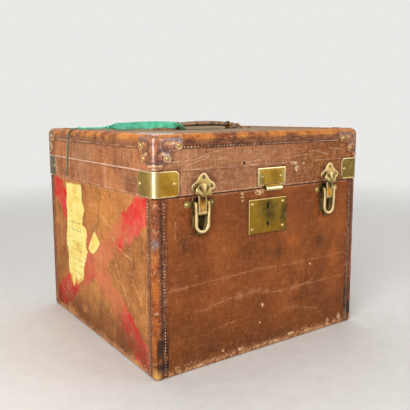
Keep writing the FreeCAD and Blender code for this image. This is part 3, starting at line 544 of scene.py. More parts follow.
def left_side_wear(finish, place, side):
    """Paint, its pink ghost, scratches and soiling of the left side."""
    flat = finish.flat(place[1], place[2])
    glow = finish.times(finish.spot(flat, (-45, 245), (130, 75), 0.9), side, 0.75)
    finish.lay((214, 138, 68), glow)
    darkening = finish.times(finish.clouds(0.50, 0.66, 26, 5), side, 0.55)
    finish.lay((120, 78, 44), darkening)
    painted, stripe = saltire(finish, place)
    blush = finish.times(finish.spot(flat, (-10, 142), (66, 66), 0.9), side, 0.60)
    finish.lay((230, 140, 92), blush, finish.clouds(0.34, 0.60, 30, 5))
    pale = finish.mix(side, tint(210, 136, 80), tint(244, 190, 136))
    mottled(finish, tint(80, 42, 23), pale, 0.16)
    rosy = finish.times(finish.spot(flat, (34, 158), (54, 58), 0.9), side, 0.6)
    finish.lay((212, 100, 80), rosy, finish.clouds(0.34, 0.60, 42, 5))
    smear = finish.times(finish.spot(flat, (28, 112), (62, 46), 0.8), stripe, side, 0.7)
    finish.lay((206, 66, 60), smear, finish.clouds(0.30, 0.58, 70, 4))
    ghost = finish.times(stripe, finish.clouds(0.34, 0.62, 20, 4), side, 0.36)
    finish.lay((224, 112, 88), ghost)
    paint = finish.ramp(finish.noise(19, 4), (0.34, (222, 100, 88)), (0.46, (218, 60, 56)),
                        (0.60, (208, 30, 32)))
    finish.colour = finish.mix(finish.times(painted, side, 0.95), finish.colour, paint)
    low = finish.times(finish.rise("z", 110, 5), finish.clouds(0.26, 0.54, 32, 4), side, 0.80)
    finish.lay((100, 53, 26), low)
    nicks = finish.times(finish.clouds(0.66, 0.74, 260, 3, (1.0, 1.0, 0.35)), side, 0.6)
    finish.lay((232, 180, 122), nicks)
    scratched = finish.lines(flat, left_scratches)
    finish.lay((236, 190, 132), scratched, finish.clouds(0.34, 0.62, 70, 5), side, 0.75)


body_leather = make_body_leather()
print("body leather:", len(body_leather.node_tree.nodes), "nodes")


# %% [markdown]
# ## Leather of the lid
#
# The lid has had more light and more hands: its leather is duller and rosier on the left, a tone that is
# partly a painted sheen of light from above, browner on the right, with a pale line along the top of the rim
# band, rubbed and partly a painted highlight, creases near the fittings and dust on top. Its left side is
# painted a lighter orange as painted light, and painted shadow lies round the fittings, under the grip and
# along the parting line.
# The same grain serves, and the tones change.

# %% Lid leather
lid_creases = (
    ((-202, 346), (-155, 349), 1.7), ((-155, 349), (-107, 362), 1.5), ((-170, 340), (-128, 352), 1.3),
    ((40, 341), (112, 347), 1.3), ((110, 352), (150, 344), 1.2), ((-60, 338), (-20, 341), 1.5),
    ((-120, 345), (-90, 352), 1.2), ((150, 356), (190, 350), 1.2), ((-190, 360), (-150, 356), 1.2),
)
lid_fittings = (((-25.5, 288), (38.5, 327)), ((-240, 292), (-184, 334)), ((184, 292), (240, 334)))
lid_keepers = (((-139, 309), (33, 28)), ((152, 309), (33, 28)))
lid_chips = (((58, 332), (13.0, 3.6)), ((66, 322), (6.5, 7.5)), ((84, 331), (4.0, 3.0)))


def make_lid_leather():
    finish = Finish("lid_leather", Specular_IOR_Level=0.2)
    grain = leather_grain(finish, 0.35 * MM)
    blotches = finish.noise(14, 5)
    rosy = finish.ramp(blotches, (0.30, (138, 84, 55)), (0.50, (163, 107, 72)), (0.70, (182, 126, 89)))
    brown = finish.ramp(blotches, (0.30, (120, 66, 25)), (0.50, (146, 82, 34)), (0.70, (168, 100, 46)))
    orange = finish.ramp(blotches, (0.34, (160, 92, 54)), (0.66, (206, 130, 72)))
    # The rosy tone on the left is faded leather and partly a painted sheen of light from above.
    finish.colour = finish.mix(finish.ease(finish.x, -0.04, 0.15), rosy, brown)
    # Painted light: the lit left side is painted a lighter orange in patches.
    left_side = finish.rise("x", -(lid_half_width - 3.0), -(lid_half_width - 0.5))
    warm = finish.clouds(0.36, 0.58, 9, 3)
    finish.colour = finish.mix(finish.times(warm, left_side, 0.85), finish.colour, orange)
    smudges = finish.times(finish.clouds(0.52, 0.68, 17, 4), left_side, 0.5)
    finish.lay((104, 70, 60), smudges)
    strokes = finish.clouds(0.50, 0.72, 70, 4, (1.0, 1.0, 0.14))
    finish.lay((108, 62, 42), strokes, 0.45)
    pale_strokes = finish.clouds(0.54, 0.70, 85, 4, (1.0, 1.0, 0.10))
    finish.lay((222, 158, 122), pale_strokes, left_side, 0.5)
    mottled(finish, tint(94, 53, 36), tint(220, 170, 130), 0.27)
    shaken = finish.parts(finish.warped(6.0 * MM, 70))
    flat = finish.flat(shaken[0], shaken[2])
    front = finish.rise("y", -(lid_half_depth - 1.0), -(lid_half_depth - 0.4))
    creases = finish.times(finish.lines(flat, lid_creases), finish.clouds(0.32, 0.60, 70, 5), front)
    chipped = finish.times(finish.spots(flat, lid_chips), finish.clouds(0.38, 0.50, 230, 3), front)
    finish.lay((224, 178, 144), creases, 0.7)
    finish.lay((226, 192, 144), chipped)
    # Painted shadow round the fittings and the keepers, broken up by noise like dirt.
    darkening = finish.most(finish.borders(flat, lid_fittings, 6), finish.spots(flat, lid_keepers, 0.45))
    fitting_shadow_and_dirt = finish.times(darkening, finish.clouds(0.25, 0.60, 90, 4), front, 0.65)
    finish.lay((76, 44, 29), fitting_shadow_and_dirt)
    hole = finish.spot(flat, (-53.5, 337.5), (3.4, 3.4))
    finish.lay((40, 22, 16), hole, front)
    rub = finish.clouds(0.36, 0.62, 80, 4)
    # The pale line on the rim band's top: rubbed leather and a painted highlight, stronger on the lit left.
    line = finish.times(finish.rise("z", band_top - 2.6, band_top - 0.9),
                        finish.rise("z", band_top + 0.5, band_top + 0.2))
    under = finish.times(finish.rise("z", band_top - 5.5, band_top - 3.6),
                         finish.rise("z", band_top - 1.6, band_top - 2.8))
    finish.lay((92, 54, 40), under, rub, 0.55)
    broken = finish.times(finish.clouds(0.38, 0.62, 45, 5), 0.5)
    shown = finish.math("ADD", finish.times(rub, broken), finish.times(left_side, 0.5))
    finish.lay((236, 202, 178), line, shown)
    low_line = finish.rise("z", lid_bottom + 4.5, lid_bottom + 1.5)
    finish.lay((218, 164, 130), low_line, rub, 0.75)
    # Painted shadow along the parting line at the lid's foot, weaker on the lit left side.
    parting = finish.rise("z", lid_bottom + 1.3, lid_bottom + 0.8)
    parting = finish.times(parting, finish.math("SUBTRACT", 0.9, finish.times(left_side, 0.8)))
    finish.lay((44, 25, 18), parting)
    dust = finish.times(finish.rise("z", lid_cover_top - 0.6, lid_cover_top - 0.2), 0.85)
    dust_tone = finish.ramp(finish.noise(14, 7, roughness=0.65), (0.30, (128, 109, 82)),
                            (0.70, (162, 142, 112)))
    finish.colour = finish.mix(dust, finish.colour, dust_tone)
    # Painted shadow of the grip on the lid's top, with dirt from hands.
    grip_shadow_and_dirt = finish.times(finish.spot(finish.place, (6.5, -24), (76, 36), 0.7), dust)
    finish.lay((52, 37, 27), grip_shadow_and_dirt)
    finish.bump(finish.math("SUBTRACT", blotches, finish.most(creases, chipped)), 1.0 * MM)
    roughness = finish.ease(finish.math("ADD", finish.noise(40, 3), finish.times(grain, 0.3)), -0.65, 1.3)
    return finish.done(roughness)


lid_leather = make_lid_leather()
print("lid leather:", len(lid_leather.node_tree.nodes), "nodes")


# %% [markdown]
# ## Leather of the bindings, caps and handle
#
# The edge bindings are thick vegetable-tanned strips: their rolled ridge is rubbed to a bright amber and
# has a painted highlight, and the stitched grooves are painted darker. The pieces carry two values at each
# point, one for the ridge and one for the grooves, because wear and painted light follow the form there and
# not the place. On the caps and the handle, pale ridges are rubbed leather and painted highlights, and dark
# hollows and undersides are painted shade. The caps are moulded wet and glossy.

# %% Binding, cap and handle leather
def make_binding_leather():
    finish = Finish("binding_leather", Specular_IOR_Level=0.2, Coat_Weight=0.05, Coat_Roughness=0.25)
    ridge = finish.attribute("ridge")
    groove = finish.attribute("groove")
    leather_grain(finish, 0.25 * MM)
    wear = finish.noise(32, 5)
    side = finish.ramp(finish.noise(55, 5), (0.32, (92, 48, 28)), (0.50, (122, 68, 40)),
                       (0.68, (152, 92, 58)))
    amber = finish.ramp(wear, (0.30, (112, 48, 19)), (0.42, (152, 74, 24)), (0.54, (186, 98, 31)),
                        (0.68, (208, 126, 50)))
    # The ridge is painted amber: rubbed leather, and partly a painted highlight.
    edge = finish.math("ADD", ridge, finish.times(finish.math("SUBTRACT", finish.noise(90, 4), 0.5), 0.9))
    finish.colour = finish.mix(finish.ease(edge, 0.20, 0.80), side, amber)
    high = finish.times(finish.rise("z", 180, 225), finish.rise("z", 310, 296))
    finish.lay((112, 50, 31), high, 0.62)
    scuffed = finish.times(finish.clouds(0.55, 0.68, 150, 5), high, ridge, 0.6)
    finish.lay((204, 164, 140), scuffed)
    bare = finish.times(finish.rise("z", 236, 222), finish.rise("z", 196, 210),
                        finish.clouds(0.46, 0.56, 60, 4), ridge)
    finish.lay((132, 128, 126), bare, 0.75)
    left_side = finish.rise("x", -(half_width - 2.0), -(half_width + 0.6))
    # Painted light: the flanges on the lit left side are painted lighter.
    finish.lay((176, 114, 70), left_side, finish.math("SUBTRACT", 1.0, ridge), 0.45)
    mottled(finish, tint(70, 34, 20), tint(212, 146, 88), 0.26)
    deep = finish.times(finish.rise("z", 205, 170), finish.rise("z", 16, 44), ridge, 0.42)
    finish.lay((142, 64, 14), deep)
    bright = finish.times(finish.rise("z", 374, 381), finish.ease(wear, 0.36, 0.56), 0.45)
    finish.lay((222, 144, 58), bright)
    cracks = finish.ease(finish.cells(95, (1.0, 1.0, 1.6), "DISTANCE_TO_EDGE"), 0.07, 0.01)
    finish.lay((58, 28, 18), cracks, finish.ease(wear, 0.62, 0.42), 0.7)
    # The grooves are painted darker, less so on the lid's left side.
    left_lid_side = finish.times(left_side, finish.rise("z", 340, 350), 0.6)
    finish.lay((50, 27, 19), groove, finish.math("SUBTRACT", 0.85, left_lid_side))
    # Pale patches on the ridge: rubbed leather and partly a painted highlight.
    rubbed_and_lit = finish.times(finish.clouds(0.60, 0.72, 130, 5), ridge)
    finish.lay((226, 180, 136), rubbed_and_lit, 0.6)
    foot = finish.times(finish.rise("z", 26, 6), finish.clouds(0.34, 0.50, 60, 4))
    finish.lay((206, 158, 86), foot, ridge)
    # Painted shade in patches low on the front flanges.
    low_front_shade = finish.times(finish.rise("z", 92, 60), finish.rise("z", 8, 22), finish.clouds(0.36, 0.50, 34, 4),
                        finish.ease(finish.y, -0.2225, -0.2242))
    finish.lay((32, 25, 19), low_front_shade, 0.9)
    finish.bump(finish.math("SUBTRACT", wear, cracks), 0.8 * MM, 0.6)
    return finish.done(finish.clouds(-0.5, 1.5, 60, 3))


def make_cap_leather():
    finish = Finish("cap_leather", Specular_IOR_Level=0.35, Coat_Roughness=0.10, Coat_IOR=1.55)
    ridge = finish.attribute("ridge")
    groove = finish.attribute("groove")
    leather_grain(finish, 0.1 * MM)
    finish.colour = finish.ramp(finish.noise(55, 4), (0.3, (98, 42, 20)), (0.5, (142, 72, 36)),
                                (0.72, (186, 114, 66)))
    mottled(finish, tint(78, 36, 22), tint(216, 148, 98), 0.4)
    worn = finish.most(finish.ease(finish.y, 0.10, 0.19), finish.ease(finish.x, 0.10, 0.19),
                       finish.times(finish.ease(finish.x, -0.2310, -0.2325), 0.9))
    finish.lay((146, 82, 24), worn, finish.clouds(0.22, 0.42, 40, 3), 0.88)
    # Painted highlights with rubbed leather: pale ridges, rims, nail rings and finger tops, less on the
    # right cap.
    rubbed_and_lit = finish.clouds(0.36, 0.56, 120, 4)
    right = finish.times(finish.ease(finish.x, 0.10, 0.19), 0.6)
    pale_edge = finish.times(ridge, rubbed_and_lit, finish.math("SUBTRACT", 0.9, right))
    finish.lay((234, 196, 146), pale_edge)
    finish.feed(finish.shader.inputs["Coat Weight"], finish.ease(worn, 1.2, 0.0))
    golden = finish.times(worn, finish.clouds(0.50, 0.66, 140, 5), 0.6)
    finish.lay((206, 156, 90), golden)
    # Painted shade in the cap's hollows.
    hollow_shade = finish.times(groove, finish.clouds(0.26, 0.52, 110, 4), 0.9)
    finish.lay((44, 21, 14), hollow_shade)
    finish.bump(finish.noise(130, 4), 0.5 * MM)
    return finish.done(finish.clouds(-0.3, 1.8, 70, 3))


def make_handle_leather():
    finish = Finish("handle_leather", Specular_IOR_Level=0.4, Coat_Weight=0.15, Coat_Roughness=0.3)
    ridge = finish.attribute("ridge")
    groove = finish.attribute("groove")
    leather_grain(finish, 0.3 * MM)
    finish.colour = finish.ramp(finish.noise(60, 4), (0.3, (56, 34, 22)), (0.5, (92, 58, 38)),
                                (0.72, (132, 92, 62)))
    # Painted highlight with rubbed leather along the grip's edges, the chapes' rims and the folds' crests.
    finish.lay((188, 148, 108), ridge, finish.clouds(0.36, 0.58, 90, 3), 0.8)
    mottled(finish, tint(36, 22, 15), tint(166, 122, 86), 0.40)
    # Painted shade under the grip and in its seams, creases and folds.
    finish.lay((26, 17, 12), groove, 0.85)
    return finish.done(finish.clouds(-0.5, 1.4, 70, 3))


binding_leather = make_binding_leather()
cap_leather = make_cap_leather()
handle_leather = make_handle_leather()
print("edge leathers made")


# %% [markdown]
# ## Brass and steel
#
# The brass is rolled sheet that has been handled for a century: gold where it is rubbed, olive and brown
# where it isn't, with dents and hairlines. A metal shows what surrounds it, so its colour only tints the
# reflections and most of its look comes from roughness and relief. Raised rims and bends are painted pale,
# as rubbed brass and painted highlights, and hollows and parts in shade are painted dark, as painted shade.

# %% Metal finishes
lock_low, lock_high = mm_box("lock_plate")
# Dark clouds on the lock plate: tarnish and a painted dark reflection.
lock_tarnish_and_reflection = (((1, 259), (34.0, 26.0)), ((38, 244), (17.0, 44.0)), ((4, 245), (26.0, 22.0)),
                ((0, 229), (8.0, 8.0)))
# Painted shadow of the levers on their base plates, with dark patina.
base_shadow_and_patina = (((-145.5, 250), (19.0, 60.0)), ((145.5, 250), (19.0, 60.0)))
# Painted shade on the keepers' nails.
keeper_nail_shade = (((-139, 309), (46.0, 38.0)), ((152, 309), (46.0, 38.0)))


def make_brass(name, tarnish=0.0, marks=(), tones=((168, 124, 40), (204, 164, 74)), matt=0.0, rub=0.6,
               border=None, mark_tone=(52, 44, 23)):
    """Old brass: tarnish moves the tone, marks are dark ovals of painted shade, painted reflection and
    tarnish on a front plate, matt dulls the shine.
    """
    finish = Finish(name, Metallic=1.0)
    ridge = finish.attribute("ridge")
    groove = finish.attribute("groove")
    patina = finish.noise(30, 5)
    finish.colour = finish.ramp(finish.noise(22, 3), (0.35, tones[0]), (0.65, tones[1]))
    finish.lay(np.multiply(tones[0], 0.7), finish.ease(patina, 0.52 - tarnish, 0.72 - tarnish))
    olive = finish.clouds(0.60 - tarnish, 0.76 - tarnish, 26, 5)
    finish.lay((84, 72, 34), olive, 0.8)
    # The marks are painted shade, painted reflection and tarnish, laid in the mark tone.
    if marks:
        shaken = finish.parts(finish.warped(9.0 * MM, 50))
        flat = finish.flat(shaken[0], shaken[2])
        dark = finish.spots(flat, marks, 0.95)
        cloudy = finish.clouds(0.10, 0.60, 90, 4)
        finish.lay(mark_tone, dark, cloudy, 0.94)
    if border:
        # Painted highlight on the left and upper edges of the lock plate.
        finish.lay((250, 224, 150), plate_border(finish, *border), 0.7)
    amber = finish.times(finish.attribute("amber"), finish.clouds(0.30, 0.55, 120, 3))
    finish.lay((204, 138, 36), amber, 0.9)
    # Painted shade in the hollows and under other parts, where the groove value is high.
    finish.lay((44, 35, 16), groove, 0.92)
    # Painted highlight with rubbed brass on rims and bends, where the ridge value is high; rub is its share.
    finish.lay((255, 234, 184), ridge, rub)
    hairlines = finish.noise(700, 2, (1.0, 1.0, 0.06))
    finish.bump(finish.noise(24, 3), 1.0 * MM, 0.35)
    finish.bump(hairlines, 0.03 * MM, 0.3)
    roughness = finish.ease(finish.math("ADD", patina, finish.times(hairlines, 0.25)), 0.05 - matt, 1.85)
    return finish.done(roughness)


def plate_border(finish, low, high):
    """1 along the left and upper edge of a front plate, 0 inside it; the finish paints a highlight there."""
    left = finish.rise("x", low[0] + 2.2, low[0] + 0.8)
    upper = finish.rise("z", high[2] - 2.2, high[2] - 0.8)
    return finish.most(left, upper)


def make_steel():
    finish = Finish("dark_steel", Metallic=1.0)
    rust = finish.clouds(0.50, 0.66, 160, 4)
    finish.colour = tint(150, 140, 122)
    finish.lay((98, 66, 42), rust)
    finish.bump(finish.noise(300, 3), 0.1 * MM)
    return finish.done(finish.clouds(-0.2, 1.5, 90, 3))


brass = make_brass("old_brass")
brown_brass = make_brass("brown_brass", 0.02, tones=((102, 70, 36), (138, 102, 57)), matt=0.35)
base_brass = make_brass("base_brass", 0.08, base_shadow_and_patina, ((144, 123, 72), (169, 148, 95)), 0.4,
                        mark_tone=(20, 16, 10))
olive_brass = make_brass("olive_brass", 0.06, tones=((112, 90, 40), (131, 108, 52)), rub=0.4)
hasp_brass = make_brass("hasp_brass", 0.05, tones=((142, 106, 36), (166, 130, 50)))
pale_brass = make_brass("pale_brass", tones=((180, 152, 88), (202, 174, 116)), matt=0.55)
rivet_brass = make_brass("rivet_brass", 0.0, keeper_nail_shade, ((169, 148, 95), (190, 172, 125)), 0.4)
lock_brass = make_brass("lock_brass", -0.04, lock_tarnish_and_reflection, ((136, 100, 30), (154, 119, 42)),
                        border=(lock_low, lock_high), mark_tone=(72, 65, 36))
steel = make_steel()
print("brass in eight tones and steel made")


# %% [markdown]
# ## Wood, cloth and thread
#
# Inside are pine boards and a plain woven lining, and outside are ribbon, string and waxed thread. Wood
# is noise stretched along its grain. A weave is a sum of sine waves, and it serves both as relief and as
# dirt in the hollows.

# %% Wood, cloth and thread finishes
def make_wood():
    finish = Finish("pine_board", Specular_IOR_Level=0.35)
    rings = finish.noise(26, 4, (0.12, 0.12, 1.0))
    fibres = finish.noise(420, 2, (0.06, 0.06, 1.0))
    finish.colour = finish.ramp(rings, (0.3, (150, 108, 66)), (0.5, (186, 142, 92)), (0.7, (204, 164, 112)))
    finish.lay((122, 84, 50), finish.ease(fibres, 0.5, 0.7), 0.4)
    finish.bump(fibres, 0.2 * MM)
    return finish.done(finish.ease(rings, -0.8, 1.1))


def woven_height(finish, pitch):
    """Threads over and under: sine waves along the three axes, added up."""
    turns = math.tau / (pitch * MM)
    waves = [finish.math("SINE", finish.times(axis, turns)) for axis in (finish.x, finish.y, finish.z)]
    return finish.math("ADD", finish.math("ADD", waves[0], waves[1]), waves[2])


def make_lining_cloth():
    finish = Finish("lining_cloth", Specular_IOR_Level=0.2, Sheen_Weight=0.2)
    weave = woven_height(finish, 1.4)
    stains = finish.noise(9, 5)
    finish.colour = finish.ramp(stains, (0.28, (150, 126, 92)), (0.50, (196, 176, 138)),
                                (0.75, (212, 196, 162)))
    foxing = finish.clouds(0.62, 0.74, 120, 4)
    finish.lay((134, 92, 56), foxing, 0.5)
    finish.lay((120, 98, 70), finish.ease(weave, -0.5, -2.0), 0.35)
    finish.bump(weave, 0.08 * MM)
    return finish.done(finish.ease(stains, -1.5, 1.0))


def make_under_cloth():
    finish = Finish("under_cloth", Specular_IOR_Level=0.25)
    weave = woven_height(finish, 1.8)
    dark_share = finish.noise(22, 5)
    finish.colour = finish.ramp(dark_share, (0.3, (48, 36, 28)), (0.55, (84, 62, 46)), (0.75, (112, 88, 66)))
    finish.bump(weave, 0.1 * MM)
    return finish.done(finish.ease(dark_share, -1.2, 1.0))


def make_ribbon_cloth(name, low, middle, high):
    finish = Finish(name, Specular_IOR_Level=0.25, Sheen_Weight=0.15, Sheen_Roughness=0.4)
    threads = finish.noise(1500, 2, (1.0, 1.0, 0.2))
    folds = finish.noise(70, 3)
    finish.colour = finish.ramp(folds, (0.28, low), (0.50, middle), (0.75, high))
    finish.lay(low, finish.ease(threads, 0.55, 0.30), 0.3)
    finish.bump(threads, 0.12 * MM)
    return finish.done(finish.ease(folds, -0.6, 1.0))


def make_thread():
    finish = Finish("waxed_thread", Specular_IOR_Level=0.3)
    strands = finish.noise(1800, 2)
    mark_tone = finish.noise(45, 4)
    finish.colour = finish.ramp(mark_tone, (0.36, (96, 64, 45)), (0.48, (168, 124, 92)), (0.62, (222, 182, 146)))
    finish.lay((110, 76, 54), finish.ease(strands, 0.5, 0.3), 0.3)
    finish.bump(strands, 0.1 * MM)
    return finish.done(finish.ease(mark_tone, -1.0, 1.0))


wood = make_wood()
lining_cloth = make_lining_cloth()
under_cloth = make_under_cloth()
ribbon_cloth = make_ribbon_cloth("ribbon_cloth", (54, 150, 116), (94, 200, 162), (142, 228, 196))
string_cloth = make_ribbon_cloth("string_cloth", (62, 92, 72), (104, 138, 108), (140, 168, 134))
thread = make_thread()
print("wood, cloth and thread finishes made")


# %% [markdown]
# ## Dress the plain nodes
#
# Boards, linings, pins and nails already have their true shape in the frame. They only need their finish,
# so each node's material slots are filled and nothing else is touched.

# %% Finish the frame's nodes
node_finishes = {
    "body_cover": body_leather, "lid_cover": lid_leather, "lid_rim_band": lid_leather,
    "bottom_cover": under_cloth, "body_lining": lining_cloth, "lid_lining": lining_cloth, "rim_lip": wood,
    "lock_case": steel, "lock_bolt": steel, "hinge_pins": steel, "hasp_pin": steel,
    "latch_pivot_pins": steel, "latch_left_link_pin": steel, "latch_right_link_pin": steel,
    "trim_nails": pale_brass, "case_rivets": pale_brass, "lid_rivets": rivet_brass,
}


def finish_for(node):
    """The finish of a node: by its name, or else wood for boards and brass for the rest."""
    if node in node_finishes:
        return node_finishes[node]
    if node.endswith("_board"):
        return wood
    return brass


for node_name, node in nodes.items():
    for material_slot in node.material_slots:
        material_slot.material = finish_for(node_name)
print("dressed", len(nodes), "nodes")


# %% [markdown]
# ## Camera
#
# The camera was found by matching the trunk's corners with the photograph: it stands in front and to the
# left, a little above the lid, and its lens is shifted because the picture was cropped. The Standard view
# shows colours as they are mixed.

# %% Camera
camera_place = np.array([-630.24, -921.96, 420.03])
camera_yaw = math.radians(33.88)
camera_pitch = math.radians(7.65)
camera_roll = math.radians(-0.36)
level_ahead = np.array([math.sin(camera_yaw), math.cos(camera_yaw), 0.0])
forward = math.cos(camera_pitch) * level_ahead - math.sin(camera_pitch) * UP
level_right = np.array([math.cos(camera_yaw), -math.sin(camera_yaw), 0.0])
level_up = np.cross(level_right, forward)
view_right = math.cos(camera_roll) * level_right + math.sin(camera_roll) * level_up
view_up = math.cos(camera_roll) * level_up - math.sin(camera_roll) * level_right
camera_axes = np.eye(4)
camera_axes[:3] = np.stack([view_right, view_up, -forward, camera_place * MM], axis=1)
camera = bpy.data.objects.new("camera", bpy.data.cameras.new("camera"))
camera.data.sensor_width = 36.0
camera.data.lens = 47.44
camera.data.shift_x = 0.0351
camera.data.shift_y = -0.0459
camera.matrix_world = Matrix(camera_axes.tolist())
bpy.context.scene.collection.objects.link(camera)
bpy.context.scene.camera = camera
bpy.context.scene.view_settings.view_transform = "Standard"
print("camera at", camera_place, "mm, lens", camera.data.lens)


# %% [markdown]
# ## Floor and light
#
# The floor is plain and pale, and runs into a wall of the same tone. One broad lamp comes from the left,
# a weaker one from the right and one from above, and the world fills the shadows. Brass shows what
# surrounds it, so the camera and the reflections see the pale wall, while the light on the trunk stays
# low.

# %% Floor and lights
wall_tone = tint(234, 233, 231)
lamp_target = (0.0, 0.0, 0.2)
seeing_rays = ("Is Camera Ray", "Is Glossy Ray", "Is Transmission Ray")


def make_floor():
    """A flat disc: rings of growing radius about the trunk."""
    radius = np.linspace(0, 6000, 7)[:, None]
    angle = np.linspace(0, math.tau, 65)[None, :]
    points = np.stack([radius * np.cos(angle), radius * np.sin(angle), 0 * radius * angle], axis=-1)
    floor = bpy.data.objects.new("floor", build_mesh("floor", [grid_patch(points)]))
    finish = Finish("pale_floor", Specular_IOR_Level=0.2)
    speckle = finish.noise(40, 3)
    finish.colour = finish.ramp(speckle, (0.3, (222, 220, 216)), (0.7, (229, 227, 224)))
    finish.done(finish.ease(speckle, -1.0, 1.5))
    far = finish.ease(finish.vector("LENGTH", finish.place), 0.7, 2.6)
    wall = finish.add("ShaderNodeEmission", Color=wall_tone)
    rays = finish.add("ShaderNodeLightPath").outputs
    seen = finish.most(*[rays[kind] for kind in seeing_rays])
    shown = finish.add("ShaderNodeMixShader", Fac=finish.times(far, seen))
    finish.feed(shown.inputs[1], finish.shader.outputs[0])
    finish.feed(shown.inputs[2], wall.outputs[0])
    finish.feed(finish.tree.nodes["Material Output"].inputs["Surface"], shown.outputs[0])
    floor.data.materials.append(finish.material)
    bpy.context.scene.collection.objects.link(floor)


def make_lamp(name, place, width, height, power):
    """A soft rectangular lamp that faces the trunk's middle."""
    lamp = bpy.data.objects.new(name, bpy.data.lights.new(name, "AREA"))
    lamp.data.shape = "RECTANGLE"
    lamp.data.size = width
    lamp.data.size_y = height
    lamp.data.energy = power
    lamp.visible_camera = False
    away = unit(np.array(place) - lamp_target)
    side = unit(np.cross(UP, away))
    axes = np.eye(4)
    axes[:3] = np.stack([side, np.cross(away, side), away, np.array(place)], axis=1)
    lamp.matrix_world = Matrix(axes.tolist())
    bpy.context.scene.collection.objects.link(lamp)


def make_world():
    """One even light for the shadows, and a pale wall for the camera and for reflections."""
    world = bpy.data.worlds.new("studio")
    world.use_nodes = True
    tree = world.node_tree
    light = tree.nodes["Background"]
    light.inputs["Color"].default_value = (1.0, 0.97, 0.93, 1.0)
    light.inputs["Strength"].default_value = 0.30
    wall = tree.nodes.new("ShaderNodeBackground")
    wall.inputs["Color"].default_value = wall_tone
    rays = tree.nodes.new("ShaderNodeLightPath")
    before = light
    for kind in seeing_rays:
        choice = tree.nodes.new("ShaderNodeMixShader")
        tree.links.new(rays.outputs[kind], choice.inputs[0])
        tree.links.new(before.outputs[0], choice.inputs[1])
        tree.links.new(wall.outputs[0], choice.inputs[2])
        before = choice
    tree.links.new(before.outputs[0], tree.nodes["World Output"].inputs["Surface"])
    bpy.context.scene.world = world


make_floor()
make_lamp("key_lamp", (-1.45, -1.05, 0.95), 0.8, 1.9, 32)
make_lamp("fill_lamp", (1.5, -1.7, 0.9), 1.2, 1.5, 15)
make_lamp("top_lamp", (0.3, 0.6, 2.2), 1.6, 1.6, 20)
make_world()
print("floor and three lamps placed")


# %% [markdown]
# ## The hanging string
#
# A thin dull-green string ends the ribbon: it comes over the lid's edge and hangs down the left side. A
# cord is a fixed length of something limp, so it is one smooth spline through listed points, with a round
# bevel for its thickness. It rides on the lid, which carries the ribbon.

# %% String
string_radius = 1.25
string_route = ((-212.13, 97.84, 392.78), (-233.25, 103.0, 392.2), (-233.25, 105.5, 367.0),
                (-233.65, 110.0, 342.0), (-233.25, 115.5, 318.0), (-233.55, 119.5, 298.0))


def make_string():
    """One smooth spline through listed points, with a round bevel."""
    curve = bpy.data.curves.new("ribbon_string", "CURVE")
    curve.dimensions = "3D"
    curve.bevel_depth = string_radius * MM
    curve.bevel_resolution = 3
    curve.resolution_u = 10
    curve.use_fill_caps = True
    spline = curve.splines.new("NURBS")
    spline.points.add(len(string_route) - 1)
    corners = np.column_stack([np.array(string_route) * MM, np.ones(len(string_route))])
    spline.points.foreach_set("co", corners.ravel())
    spline.order_u = 3
    spline.use_endpoint_u = True
    curve.materials.append(string_cloth)
    string = bpy.data.objects.new("hanging_string", curve)
    bpy.context.scene.collection.objects.link(string)
    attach(string, "lid")
    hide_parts("ribbon_string")


make_string()


# %% [markdown]
# ## Stitches
#
# A saddle stitch is a short length of waxed thread that dips into the leather at both ends. Hundreds of
# them are needed, so each is a very small form: a six-sided tube with closed ends, made for a whole row
# at once.

# %% Stitch helper
stitch_rings, stitch_sides = 7, 6


def bell(distance, width):
    """A smooth bump: 1 at distance 0, nearly 0 at two widths."""
    return np.exp(-(distance / width) ** 2)


def round_over(distance, radius):
    """A rounded edge: 0 at the edge and 1 from the radius inwards, along a quarter circle."""
    inside = np.clip(distance / radius, 0, 1)
    return np.sqrt(1 - (1 - inside) ** 2)


def stitch_row(centres, along, out, length, width):
    """Stitches at given centres: a circle carried along a short arch, closed to a point at both ends."""
    along = np.broadcast_to(along, centres.shape)
    out = np.broadcast_to(out, centres.shape)
    share = np.linspace(-1, 1, stitch_rings)[:, None]
    angle = circle(stitch_sides)[None, :]
    radius = width / 2 * np.sqrt(1 - share ** 4)
    rise = width * (0.45 - 0.6 * share ** 2) + radius * np.sin(angle)
    sideways = radius * np.cos(angle)
    reach = np.broadcast_to(share * length / 2, rise.shape)
    across = np.cross(along, out)
    points = sum(way[:, None, None] * far[..., None]
                 for way, far in ((along, reach), (out, rise), (across, sideways)))
    points = centres[:, None, None] + points
    starts = stitch_rings * stitch_sides * np.arange(len(centres))[:, None, None]
    faces = grid_faces(stitch_rings, stitch_sides, close_columns=True) + starts
    return points.reshape(-1, 3), faces.reshape(-1, 4), {}


print("a stitch has", stitch_rings * stitch_sides, "points")


# %% [markdown]
# ## Corner bindings of the body
#
# A strip of leather is folded round each upright corner, its fold rolled over a cord and its two edges
# sewn down. The profile is one formula of the distance d from the corner: a swelling in the middle, a
# creased groove on each side of it, a pressed line under the stitches and a rounded edge. It is carried
# up the corner.

# %% Corner bindings
corner_signs = {"front_left": (1, 1, 1), "front_right": (-1, 1, 1), "back_left": (1, -1, 1),
                "back_right": (-1, -1, 1)}
binding_leg = 23.0
sunk = 0.15
stitch_line = 14.85
stitch_pitch = 5.0
corner_stitch = (3.2, 1.7)


def corner_wrap(d, half_x, half_y, radius):
    """Place and outward direction at a distance d along the rounded front left corner."""
    half_arc = radius * math.pi / 4
    turn = np.clip((d + half_arc) / radius, 0, math.pi / 2)
    out = np.stack([-np.sin(turn), -np.cos(turn), 0 * d], axis=-1)
    straight = np.stack([np.maximum(-half_arc - d, 0), np.maximum(d - half_arc, 0), 0 * d], axis=-1)
    return np.array([radius - half_x, radius - half_y, 0]) + radius * out + straight, out


